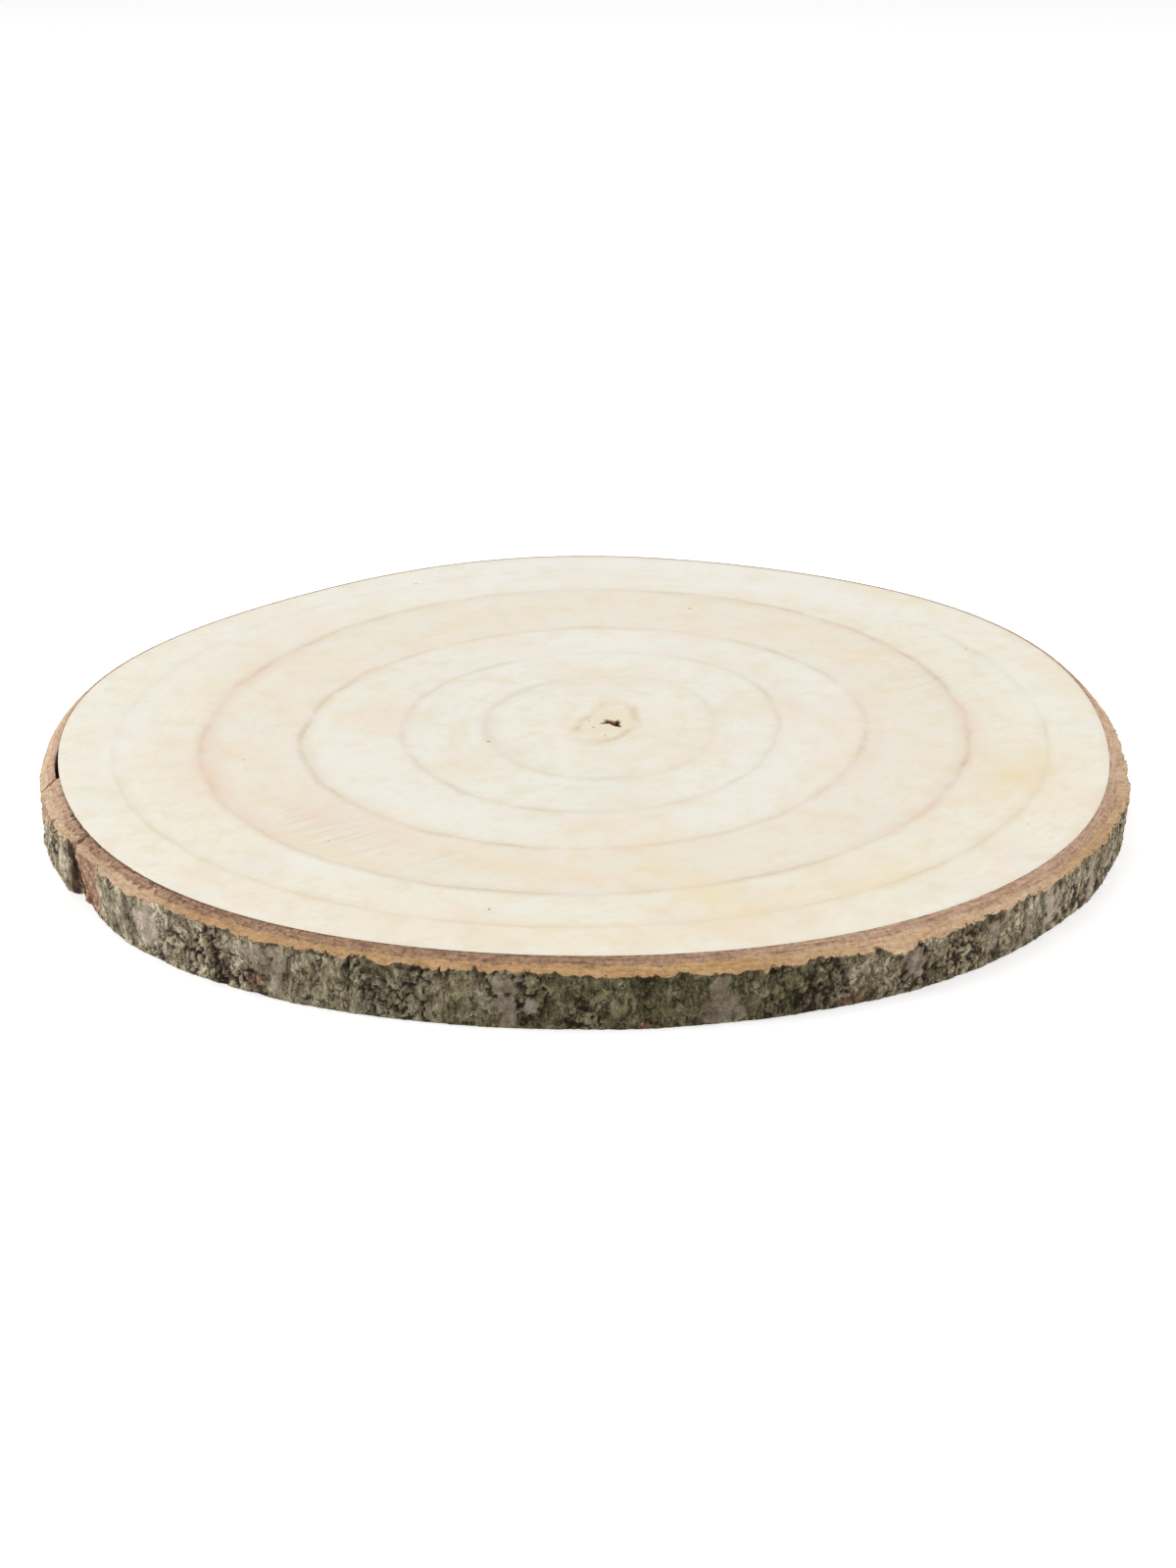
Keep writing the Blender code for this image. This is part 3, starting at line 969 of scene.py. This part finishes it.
def crust(angle, height):
    """Relief of the weathered outside in metres, the painted shade of crevices, furrows and
    steps, and how much of the spot is smooth place, red break and broken down to the cork."""
    bend = FURROW_BEND * upright_noise(angle, height, FURROW_LENGTH, FURROW_LENGTH, BEND_SEED)
    furrow = upright_noise(angle + bend, height, FURROW_SPACING, FURROW_LENGTH, FURROW_SEED)
    plate = upright_noise(angle, height, PLATE_WIDTH, FURROW_LENGTH, PLATE_SEED)
    groove = 1.0 - smooth_step(0.0, FURROW_WIDTH_SHARE, abs(furrow))
    mossy = read_round(MOSS, math.degrees(angle))
    slow = PLATE_HEIGHT * plate + mix(FURROW_DEPTH, MOSSY_FURROW_DEPTH, mossy) * (FURROW_MEAN - groove)

    warp = FLAKE_BEND * noise.noise_vector(crust_noise(angle, height, 2.0 * MM, 2.4 * MM))
    cell = crust_noise(angle, height, FLAKE_WIDTH, FLAKE_TALL)
    near, middles = noise.voronoi(cell + warp)
    flake = noise.noise(middles[0] * 3.7)
    patchy = smooth_step(-0.25, 0.35, noise.noise(crust_noise(angle, height, 8.0 * MM, 12.0 * MM)))
    crevice = (1.0 - smooth_step(0.02, 0.17, near[1] - near[0])) * mix(0.25, 1.0, patchy)
    lumpy = sum(
        high * noise.noise(crust_noise(angle, height, wide, wide * 1.4)) for wide, high in LUMPS
    )
    rough = slow + FLAKE_STEP * flake + lumpy - CREVICE_DEPTH * crevice

    torn_by = 0.6 * noise.noise(crust_noise(angle, height, 1.5 * MM, 2.0 * MM))
    torn_by += 0.5 * noise.noise(crust_noise(angle, height, 4.5 * MM, 6.0 * MM))
    bare = place_mask(SMOOTH_PLACES, angle, height, torn_by)
    red = 0.75 * place_mask(RED_PLACES, angle, height, 2.0 * torn_by)
    broken = place_mask(BROKEN_PLACES, angle, height, torn_by)
    edge = 4.0 * bare * (1.0 - bare) * patchy
    relief = mix(rough, 0.5 * slow + 0.1 * MM, bare) - 0.3 * MM * edge - 0.5 * MM * red
    relief = mix(relief, 0.6 * relief - BROKEN_STEP, broken)
    relief *= mix(FOOT_CALM, 1.0, smooth_step(0.0, FOOT_REACH, height))
    # Painted shade: crevices, the steps round smooth places and the furrows are darkened.
    dark = max(crevice * (1.0 - bare), 0.8 * edge, mix(0.5, 0.3, mossy) * groove * (1.0 - bare))
    return relief, dark * (1.0 - 0.6 * broken), bare, red, broken


# %% [markdown]
# One section through the bark goes up the crust, in over the cork and the inner bark, down
# the seam and back out along the underside. Every point also carries `layer`, which says
# where in the bark it lies: 0 at the wood, 1 where inner bark meets cork, 2 where cork meets
# crust, and 3 out in the weather. That one number later picks the right finish on the torn
# top, on the outside and on the sawn underside alike.

# %% A section through the bark
CRUST_ROWS, CORK_ROWS, INNER_ROWS, SEAM_ROWS = 30, 6, 7, 3
UNDER_SHARES = (0.93, 0.85, 0.7, 0.55, 0.25)
CORK_TEETH = ((6.0 * MM, 2.0 * MM), (2.2 * MM, 2.0 * MM))
CORK_GRAIN, FIBRE_RELIEF = 0.16 * MM, 0.1 * MM
CORK_SHOWS = 1.0 * MM
INNER_LIP = 0.75
FOOT_ROUNDING = 0.15 * MM
CRUMB_GAP = 0.9 * MM
EDGE_REACH = 1.5 * MM


def under_layer(share):
    """Which layer a share of the way from the wood to the outside lies in, on a sawn cut."""
    return between(share, (0.0, INNER_BARK_SHARE, 0.85, 1.0), (0.0, 1.0, 2.0, 3.0))


def crust_top(angle):
    """Height of the crust's torn top edge."""
    height = THICKNESS - read_round(CORK_DROP, math.degrees(angle)) * MM
    jagged = read_round(JAGGED, math.degrees(angle))
    for wide, high in CORK_TEETH:
        tooth = upright_noise(angle, 0.0, wide, FURROW_LENGTH, TOOTH_SEED)
        height += high * jagged * tooth * abs(tooth)
    return height


def bark_section(degrees, groove):
    """The bark cut through at one angle: a list of (distance out from the wood, height,
    layer, crevice (painted shade), bare, red). Groove sinks the crust beside a crack and
    paints it red-brown with painted shade."""
    angle = math.radians(degrees)
    lift = smooth_step(LIFT_START, LIFT_FULL, degrees - FULL_TURN)
    crumb = read_round(CRUMBLED, degrees)
    crumb *= max(0.0, upright_noise(angle, 0.0, 1.8 * MM, FURROW_LENGTH, TOOTH_SEED + 4.0))
    seam = SEAM + LIFT_GAP * lift + CRUMB_GAP * crumb
    thick = bark_thickness(angle)
    foot_out = read_round(FOOT_OUT, degrees) * MM
    shoulder = crust_top(angle)
    calm = min(1.0, read_round(JAGGED, degrees))
    section = []
    for row in range(CRUST_ROWS + 1):
        height = shoulder * row / CRUST_ROWS
        relief, dark, bare, red, broken = crust(angle, height)
        relief *= mix(calm, 1.0, smooth_step(0.0, EDGE_REACH, shoulder - height))
        out = thick + relief + foot_out * (1.0 - row / CRUST_ROWS) - groove * 1.5 * MM
        if row == 0:
            out -= FOOT_ROUNDING
        layer = 2.0 + 1.6 * smooth_step(0.0, CORK_SHOWS, shoulder - height)
        red = max(red, groove, 0.45 * broken)
        # Beside a crack the groove gets painted shade as well as red-brown.
        section.append((out, height, mix(layer, 0.8, broken), max(dark, smooth_step(0.1, 0.6, groove)), bare, red))
    shoulder_out = section[-1][0]
    inner_out = seam + (thick - seam) * INNER_BARK_SHARE
    inner_top = THICKNESS - INNER_BARK_DROP
    for row in range(1, CORK_ROWS + 1):
        share = row / CORK_ROWS
        out = mix(shoulder_out, inner_out, share)
        grain = noise.noise(crust_noise(angle, out * 3.0, 1.4 * MM, 1.4 * MM)) * CORK_GRAIN
        height = mix(shoulder, inner_top, share) + grain
        section.append((out, height, 2.0 - share, 0.0, 0.0, 0.3 * groove))
    for row in range(1, INNER_ROWS + 1):
        share = row / INNER_ROWS
        out = mix(inner_out, seam, share)
        fibre = noise.noise(crust_noise(angle, out * 9.0, 5.0 * MM, 1.0 * MM)) * FIBRE_RELIEF
        sunk = 1.2 * MM * crumb * smooth_step(0.55, 1.0, share)
        rise = smooth_step(0.0, 1.0, min(1.0, share / INNER_LIP))
        height = mix(inner_top, THICKNESS - RIM_DROP, rise) + fibre * (1.0 - rise) - sunk
        # Where the seam has crumbled and sunk, the sunk part gets painted shade.
        section.append((out, height, 1.0 - share, min(1.0, sunk / (0.25 * MM)), 0.0, 0.0))
    for row in range(1, SEAM_ROWS + 1):
        section.append((seam, (THICKNESS - RIM_DROP) * (1.0 - row / SEAM_ROWS), -0.5, 0.0, 0.0, 0.0))
    foot = section[0][0]
    for share in reversed(UNDER_SHARES):
        section.append((mix(seam, foot, share), 0.0, under_layer(share), 0.0, 0.0, 0.0))
    return section


# %% [markdown]
# A length of bark is lofted from section to section, about half a millimetre apart, which
# is fine enough for the flakes. Near a crack the sections lean, so that the crack slants on
# its way out, and the crust sinks into a groove beside the deep one. At last every point is
# held inside the plain model's box, because relief may roughen a slice but not make it grow.

# %% Build the bark
# `crevice` holds painted shade: how dark the crevices, furrows, steps, crack grooves and sunk seam are painted.
BARK_NUMBERS = ("layer", "crevice", "bare", "red", "moss", "faded", "fresh", "pale", "torn", "round")
BARK_STEP = 0.53
BOX_MARGIN = 0.01 * MM
GROOVE_REACH = 1.2
# How much the weather has faded the crust, how pale the torn top is, and how badly the saw
# tore it.
FADED = (
    (0, 0.5), (60, 0.3), (120, 0.4), (180, 0.7), (192, 0.9), (201, 1.1), (206, 0.9), (212, 1.0),
    (222, 0.75), (228, 0.7), (233, 0.4), (246, 0.35), (256, 0.25), (264, 0.0), (290, 0.0), (297, 0.2),
    (303, 0.1),
    (310, 0.2), (316, 0.65), (323, 0.5), (328, 0.15), (335, 0.4), (345, 0.5), (360, 0.5),
)
FRESH = (
    (0, 0.95), (10, 0.6), (60, 0.5), (150, 0.8), (180, 1.0), (204, 0.85), (211, 0.25), (216, 0.25),
    (220, 0.4), (226, 0.2), (232, 0.05), (240, 0.2), (252, 0.1), (268, 0.1), (284, 0.4),
    (294, 0.65), (300, 0.55), (316, 0.65), (328, 0.6), (338, 0.65), (345, 1.0), (360, 0.95),
)
# The same for the cork under it.
PALE = (
    (0, 0.9), (60, 0.6), (150, 0.8), (185, 1.0), (204, 1.0), (208, 0.9), (222, 0.85), (228, 0.45),
    (233, 0.1), (264, 0.0), (284, 0.0), (290, 0.3), (298, 0.6), (312, 0.8), (317, 0.7), (321, 0.3),
    (330, 0.25), (337, 0.45), (346, 0.8), (360, 0.9),
)
TORN = (
    (0, 0.1), (60, 0.2), (180, 0.2), (200, 0.4), (206, 0.8), (212, 1.0), (236, 0.9), (252, 0.5),
    (280, 0.35), (300, 0.15), (360, 0.1),
)


def hold_inside(spot):
    """Moves a point that stands out of the plain model's box back onto it."""
    for axis in range(2):
        low, high = cad_box[0][axis] + BOX_MARGIN, cad_box[1][axis] - BOX_MARGIN
        spot[axis] = min(high, max(low, spot[axis]))
    spot.z = min(spot.z, THICKNESS - RIM_DROP)
    return spot


def build_bark(name, start, end, start_lean, end_lean, start_groove, end_groove):
    """One length of bark between two cracks. Angles and leans are in degrees, and the
    grooves say how deep the crust sinks beside each crack, 0 to 1."""
    shape = bmesh.new()
    told = {number: shape.verts.layers.float.new(number) for number in BARK_NUMBERS}
    step = math.degrees(BARK_STEP / (WOOD_RADIUS + BARK_THICKNESS))
    count = round((end - start) / step)
    sections = []
    for station in range(count + 1):
        degrees = mix(start, end, station / count)
        lean = start_lean * (1.0 - smooth_step(0.0, CRACK_LIP, degrees - start))
        lean += end_lean * (1.0 - smooth_step(0.0, CRACK_LIP, end - degrees))
        groove = max(
            start_groove * (1.0 - smooth_step(0.0, GROOVE_REACH, degrees - start)),
            end_groove * (1.0 - smooth_step(0.0, GROOVE_REACH, end - degrees)),
        )
        section = bark_section(degrees, groove)
        reach = max(out for out, *_ in section)
        points = []
        for out, height, layer, dark, bare, red in section:
            turned = math.radians(degrees + lean * max(0.0, out) / reach)
            spot = hold_inside(on_trunk(turned, wood_radius(turned) + out, height))
            point = shape.verts.new(spot)
            point[told["layer"]] = layer
            point[told["crevice"]] = dark
            point[told["bare"]] = bare
            point[told["red"]] = red
            point[told["moss"]] = read_round(MOSS, degrees)
            point[told["faded"]] = read_round(FADED, degrees)
            point[told["fresh"]] = read_round(FRESH, degrees)
            point[told["pale"]] = read_round(PALE, degrees)
            point[told["torn"]] = read_round(TORN, degrees)
            point[told["round"]] = math.radians(degrees) * WOOD_RADIUS * MM
            points.append(point)
        sections.append(points)
    for near, far in zip(sections, sections[1:]):
        for i in range(len(near)):
            shape.faces.new((near[i - 1], far[i - 1], far[i], near[i]))
    shape.faces.new(sections[0])
    shape.faces.new(sections[-1])
    return mesh_object(name, shape, 70.0)


bark_ends = (
    (
        "long_bark",
        "bark_long",
        DEEP_CRACK + DEEP_CRACK_WIDTH / 2,
        FULL_TURN + LIFT_CRACK - LIFT_CRACK_WIDTH / 2,
        DEEP_CRACK_SPREAD / 2,
        LIFT_CRACK_SLANT,
        1.0,
        0.15,
    ),
    (
        "short_bark",
        "bark_short",
        LIFT_CRACK + LIFT_CRACK_WIDTH / 2,
        DEEP_CRACK - DEEP_CRACK_WIDTH / 2,
        LIFT_CRACK_SLANT,
        -DEEP_CRACK_SPREAD / 2,
        0.15,
        0.6,
    ),
)
barks = []
for piece_name, solid_name, *measures in bark_ends:
    bark = build_bark(piece_name, *measures)
    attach(bark, "root")
    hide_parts(solid_name)
    barks.append(bark)

# %% [markdown]
# ## The bark's finish: torn inner bark, cork and lichened crust
# All three are dead plant tissue, so none of them shines: roughness 0.85 to 0.95. They share
# one material, because in the real bark they grade into each other. Each layer's colour is
# made in its own cell and `layer` picks among them at the end.
#
# The inner bark is fibrous, brown to pinkish. Its torn fibres lie round the slice, so their
# noise is drawn out 9 mm round it and squeezed to 0.5 mm across.

# %% Inner bark
bark_skin = bpy.data.materials.new("weathered_bark")
bark_skin.use_nodes = True
bark_tree = bark_skin.node_tree
bark_face = bark_tree.nodes["Principled BSDF"]
bark_place = node(bark_tree, "TexCoord").outputs["Object"]
bark_told = {
    number: node(bark_tree, "Attribute", attribute_name=number).outputs["Fac"]
    for number in BARK_NUMBERS
}
fibre_place = node(
    bark_tree,
    "CombineXYZ",
    {
        "X": node(bark_tree, "Math", {0: bark_told["round"], 1: per_mm(9.0)}, operation="MULTIPLY").outputs[0],
        "Y": node(bark_tree, "Math", {0: bark_told["layer"], 1: 5.0}, operation="MULTIPLY").outputs[0],
    },
).outputs["Vector"]
fibres = node(bark_tree, "TexNoise", {"Vector": fibre_place, "Scale": 1.0, "Detail": 5.0, "Roughness": 0.7})
crumbs = node(bark_tree, "TexNoise", {"Vector": bark_place, "Scale": per_mm(1.3), "Detail": 4.0, "Roughness": 0.7})
crumbs = crumbs.outputs["Fac"]
fibre_mix = node(
    bark_tree,
    "Mix",
    {0: 0.4, 2: fibres.outputs["Fac"], 3: crumbs},
    data_type="FLOAT",
).outputs[0]
inner_colour = node(
    bark_tree,
    "ValToRGB",
    {"Fac": fibre_mix},
    stops=((0.3, "#573a2c"), (0.41, "#80604a"), (0.5, "#9b785f"), (0.6, "#b08f76"), (0.72, "#c6aa92")),
).outputs["Color"]
fresh_inner = node(
    bark_tree,
    "ValToRGB",
    {"Fac": fibre_mix},
    stops=((0.3, "#876450"), (0.41, "#b08c74"), (0.5, "#ceab90"), (0.6, "#dcbfa5"), (0.72, "#e9d4bf")),
).outputs["Color"]
inner_colour = node(
    bark_tree,
    "Mix",
    {SHARE: bark_told["fresh"], FIRST: inner_colour, SECOND: fresh_inner},
    data_type="RGBA",
).outputs[MIXED]
# Where the saw tore hardest, the pulled-out fibres left dark pits under a millimetre wide.
pits = node(bark_tree, "TexNoise", {"Vector": bark_place, "Scale": per_mm(1.1), "Detail": 3.0}).outputs["Fac"]
pits = node(
    bark_tree,
    "MapRange",
    {"Value": pits, "From Min": 0.48, "From Max": 0.66, "To Min": 0.0, "To Max": 0.75},
).outputs["Result"]
pits = node(bark_tree, "Math", {0: pits, 1: bark_told["torn"]}, operation="MULTIPLY").outputs[0]
inner_colour = node(
    bark_tree,
    "Mix",
    {SHARE: pits, FIRST: inner_colour, SECOND: linear("#59402f")},
    data_type="RGBA",
).outputs[MIXED]

# %% [markdown]
# Cork is a foam of tiny dead cells. Torn, it looks like biscuit: tan and finely grained, with
# light and dark streaks where the saw's teeth went round.

# %% Cork
cork_grain = node(bark_tree, "TexNoise", {"Vector": bark_place, "Scale": per_mm(1.4), "Detail": 5.0, "Roughness": 0.7})
cork_mix = node(
    bark_tree,
    "Mix",
    {0: 0.5, 2: fibres.outputs["Fac"], 3: cork_grain.outputs["Fac"]},
    data_type="FLOAT",
).outputs[0]
cork_colour = node(
    bark_tree,
    "ValToRGB",
    {"Fac": cork_mix},
    stops=((0.3, "#7d5a3a"), (0.4, "#a58058"), (0.5, "#bd9669"), (0.6, "#cca97e"), (0.72, "#dfc6a1")),
).outputs["Color"]
fresh_cork = node(
    bark_tree,
    "ValToRGB",
    {"Fac": cork_mix},
    stops=((0.3, "#8c6d54"), (0.4, "#b59678"), (0.5, "#d2b394"), (0.6, "#e0c8ab"), (0.72, "#ecdcc5")),
).outputs["Color"]
cork_colour = node(
    bark_tree,
    "Mix",
    {SHARE: bark_told["pale"], FIRST: cork_colour, SECOND: fresh_cork},
    data_type="RGBA",
).outputs[MIXED]

# %% [markdown]
# The crust has weathered to grey-brown. Moss greens it where it is damp, and sun and dry air
# fade it where `faded` is high. All three are the same grain, about 1.5 mm across and curled
# by a second noise, in three sets of colours.

# %% Crust
curl = node(bark_tree, "TexNoise", {"Vector": bark_place, "Scale": per_mm(2.6), "Detail": 2.0}).outputs["Color"]
curled_place = node(
    bark_tree,
    "VectorMath",
    {0: curl, 1: (1.8 * MM, 1.8 * MM, 1.8 * MM), 2: bark_place},
    operation="MULTIPLY_ADD",
).outputs["Vector"]
fibrous_place = node(
    bark_tree,
    "Mapping",
    {"Vector": curled_place, "Scale": (per_mm(1.0), per_mm(1.0), per_mm(2.2))},
).outputs["Vector"]
fibrous = node(
    bark_tree,
    "TexNoise",
    {"Vector": fibrous_place, "Scale": 1.0, "Detail": 5.0, "Roughness": 0.75},
).outputs["Fac"]
upright_place = node(
    bark_tree,
    "Mapping",
    {"Vector": curled_place, "Scale": (per_mm(3.8), per_mm(3.8), per_mm(11.0))},
).outputs["Vector"]
plates = node(bark_tree, "TexNoise", {"Vector": upright_place, "Scale": 1.0, "Detail": 3.0}).outputs["Fac"]
plates = node(bark_tree, "Math", {0: plates, 1: -0.5}, operation="ADD").outputs[0]
plate_tone = node(
    bark_tree,
    "MapRange",
    {"Value": bark_told["moss"], "From Min": 0.0, "From Max": 1.0, "To Min": 0.5, "To Max": 0.15},
).outputs["Result"]
blotches = node(bark_tree, "TexNoise", {"Vector": bark_place, "Scale": per_mm(4.2), "Detail": 3.0}).outputs["Fac"]
blotches = node(bark_tree, "Math", {0: blotches, 1: -0.5}, operation="ADD").outputs[0]
crust_grain = fibrous
for pattern, tone in ((plates, plate_tone), (blotches, 0.35)):
    crust_grain = node(
        bark_tree,
        "Math",
        {0: pattern, 1: tone, 2: crust_grain},
        operation="MULTIPLY_ADD",
    ).outputs[0]
crust_colour = node(
    bark_tree,
    "ValToRGB",
    {"Fac": crust_grain},
    stops=((0.3, "#241d15"), (0.41, "#554937"), (0.5, "#7a6d55"), (0.59, "#9c8f72"), (0.7, "#c4b89a")),
).outputs["Color"]
for number, size, colours in (
    ("moss", 9.0, ("#19170e", "#35321e", "#504b31", "#666041", "#87805b")),
    ("faded", 7.0, ("#40372b", "#7b6f5a", "#a49881", "#c5bba2", "#e2dbc6")),
):
    patches = node(bark_tree, "TexNoise", {"Vector": bark_place, "Scale": per_mm(size), "Detail": 4.0})
    patches = node(bark_tree, "Math", {0: patches.outputs["Fac"], 1: -0.5}, operation="ADD").outputs[0]
    reached = node(
        bark_tree,
        "Math",
        {0: patches, 1: 1.8, 2: bark_told[number]},
        operation="MULTIPLY_ADD",
        use_clamp=True,
    ).outputs[0]
    tinted = node(
        bark_tree,
        "ValToRGB",
        {"Fac": crust_grain},
        stops=tuple(zip((0.3, 0.41, 0.5, 0.59, 0.7), colours)),
    ).outputs["Color"]
    crust_colour = node(
        bark_tree,
        "Mix",
        {SHARE: reached, FIRST: crust_colour, SECOND: tinted},
        data_type="RGBA",
    ).outputs[MIXED]

# %% [markdown]
# Bark fibres, lichen threads and fine cracks are all curly lines. A line like that is simply
# where a noise passes through its middle value, 0.5, so the distance from 0.5 draws it as
# thin as one likes. The lines are about 0.3 mm wide, the light ones over the dark ones. A
# slower noise lets them show in some places only.

# %% Crust: threads and fine cracks
line_places = {}
for name, size, thick, most, tint in (
    ("crack", 3.4, 0.04, 0.85, "#17120b"),
    ("thread", 2.2, 0.02, 0.4, "#aea48e"),
    ("rust", 4.4, 0.05, 0.3, "#6b4f38"),
):
    pattern = node(bark_tree, "TexNoise", {"Vector": curled_place, "Scale": per_mm(size), "Detail": 2.5})
    off_middle = node(bark_tree, "Math", {0: pattern.outputs["Fac"], 1: -0.5}, operation="ADD").outputs[0]
    off_middle = node(bark_tree, "Math", {0: off_middle}, operation="ABSOLUTE").outputs[0]
    drawn = node(
        bark_tree,
        "MapRange",
        {"Value": off_middle, "From Min": 0.0, "From Max": thick, "To Min": most, "To Max": 0.0},
    ).outputs["Result"]
    patches = node(bark_tree, "TexNoise", {"Vector": bark_place, "Scale": per_mm(size * 1.7), "Detail": 3.0})
    allowed = node(
        bark_tree,
        "MapRange",
        {"Value": patches.outputs["Fac"], "From Min": 0.42, "From Max": 0.58},
    ).outputs["Result"]
    line_places[name] = node(bark_tree, "Math", {0: drawn, 1: allowed}, operation="MULTIPLY").outputs[0]
    crust_colour = node(
        bark_tree,
        "Mix",
        {SHARE: line_places[name], FIRST: crust_colour, SECOND: linear(tint)},
        data_type="RGBA",
    ).outputs[MIXED]

# %% Crust: smooth places and painted crevice shade
bare_grain = node(bark_tree, "TexNoise", {"Vector": curled_place, "Scale": per_mm(3.0), "Detail": 6.0, "Roughness": 0.7})
bare_colour = node(
    bark_tree,
    "ValToRGB",
    {"Fac": bare_grain.outputs["Fac"]},
    stops=((0.35, "#52473c"), (0.5, "#7c6f61"), (0.65, "#a39686")),
).outputs["Color"]
faded_bare = node(
    bark_tree,
    "ValToRGB",
    {"Fac": bare_grain.outputs["Fac"]},
    stops=((0.35, "#8c7d70"), (0.5, "#b3a294"), (0.65, "#cbbcae")),
).outputs["Color"]
bare_colour = node(
    bark_tree,
    "Mix",
    {SHARE: bark_told["faded"], FIRST: bare_colour, SECOND: faded_bare},
    data_type="RGBA",
).outputs[MIXED]
bare_share = node(bark_tree, "Math", {0: bark_told["bare"], 1: 0.7}, operation="MULTIPLY").outputs[0]
# Painted shade: where `crevice` is high, the crust is painted nearly black.
painted_crevice_shade = node(
    bark_tree,
    "MapRange",
    {"Value": bark_told["crevice"], "From Min": 0.15, "From Max": 0.9, "To Min": 0.0, "To Max": 0.92},
).outputs["Result"]
for share, colour in ((bare_share, bare_colour), (painted_crevice_shade, linear("#1d1812"))):
    crust_colour = node(
        bark_tree,
        "Mix",
        {SHARE: share, FIRST: crust_colour, SECOND: colour},
        data_type="RGBA",
    ).outputs[MIXED]

# %% [markdown]
# `layer` now picks: inner bark below 1, cork from 1 to 2, crust above. A noise shifts the
# limits by up to a millimetre, so that the layers interlock instead of meeting along a clean
# line. The face against the wood, near 0 and below, is dark with old sap. Fresh breaks lie
# over all the layers, and they are red-brown with tan splinters. Last comes painted shade,
# which darkens deep crevices, the crack grooves and the sunk seam.

# %% Put the layers together
tears = node(bark_tree, "TexNoise", {"Vector": bark_place, "Scale": per_mm(2.6), "Detail": 5.0, "Roughness": 0.7})
tears = node(bark_tree, "Math", {0: tears.outputs["Fac"], 1: -0.5}, operation="ADD").outputs[0]
bark_colour = inner_colour
# Each border: how wild it is, the layer where it starts and ends, and what lies past it. The
# crust's edge overhangs, so a dark line of shade comes before the crust itself.
for wild, low, high, most, colour in (
    (2.2, 0.85, 1.1, 1.0, cork_colour),
    (4.0, 2.28, 2.36, 0.7, linear("#2e241a")),
    (4.0, 2.4, 2.6, 1.0, crust_colour),
):
    ragged = node(
        bark_tree,
        "Math",
        {0: tears, 1: wild, 2: bark_told["layer"]},
        operation="MULTIPLY_ADD",
    ).outputs[0]
    shown = node(
        bark_tree,
        "MapRange",
        {"Value": ragged, "From Min": low, "From Max": high, "To Min": 0.0, "To Max": most},
    ).outputs["Result"]
    bark_colour = node(
        bark_tree,
        "Mix",
        {SHARE: shown, FIRST: bark_colour, SECOND: colour},
        data_type="RGBA",
    ).outputs[MIXED]
red_colour = node(
    bark_tree,
    "ValToRGB",
    {"Fac": crumbs},
    stops=((0.36, "#33201a"), (0.46, "#5f4232"), (0.55, "#85654c"), (0.68, "#b39270")),
).outputs["Color"]
# Painted shade: deep crevices, crack grooves and the sunk seam are painted darker still.
painted_deep_shade = node(
    bark_tree,
    "MapRange",
    {"Value": bark_told["crevice"], "From Min": 0.3, "From Max": 1.0, "To Min": 0.0, "To Max": 0.8},
).outputs["Result"]
seam_edge = node(
    bark_tree,
    "Math",
    {0: bark_told["torn"], 1: -0.3, 2: bark_told["layer"]},
    operation="MULTIPLY_ADD",
).outputs[0]
seam_edge = node(bark_tree, "Math", {0: tears, 1: 0.9, 2: seam_edge}, operation="MULTIPLY_ADD").outputs[0]
sappy = node(
    bark_tree,
    "MapRange",
    {"Value": seam_edge, "From Min": -0.1, "From Max": 0.05, "To Min": 0.55, "To Max": 0.0},
).outputs["Result"]
for share, colour in (
    (bark_told["red"], red_colour),
    (painted_deep_shade, linear("#2c1c14")),
    (sappy, linear("#563d2d")),
):
    bark_colour = node(
        bark_tree,
        "Mix",
        {SHARE: share, FIRST: bark_colour, SECOND: colour},
        data_type="RGBA",
    ).outputs[MIXED]
bark_tree.links.new(bark_colour, bark_face.inputs["Base Color"])
bark_rough = node(
    bark_tree,
    "MapRange",
    {"Value": crust_grain, "From Min": 0.3, "From Max": 0.7, "To Min": 0.95, "To Max": 0.85},
).outputs["Result"]
bark_tree.links.new(bark_rough, bark_face.inputs["Roughness"])
bark_face.inputs["Specular IOR Level"].default_value = 0.2
bark_touch = node(bark_tree, "Math", {0: crust_grain, 1: crumbs}, operation="ADD").outputs[0]
bark_touch = node(bark_tree, "Math", {0: bark_touch, 1: line_places["crack"]}, operation="SUBTRACT").outputs[0]
bark_bump = node(bark_tree, "Bump", {"Height": bark_touch, "Strength": 0.8, "Distance": 0.4 * MM})
bark_tree.links.new(bark_bump.outputs["Normal"], bark_face.inputs["Normal"])
for bark in barks:
    bark.data.materials.append(bark_skin)
print("bark finish:", len(bark_tree.nodes), "nodes")

# %% [markdown]
# ## Check the size
# The finished slice has to lie inside the plain model's box. Each axis of its box is
# compared with the plain model's, and the answer is printed.

# %% Compare the sizes
slice_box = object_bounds()
for axis in range(3):
    inside = slice_box[0][axis] >= cad_box[0][axis] and slice_box[1][axis] <= cad_box[1][axis]
    print("axis", "XYZ"[axis], "inside the plain model" if inside else "outside the plain model")
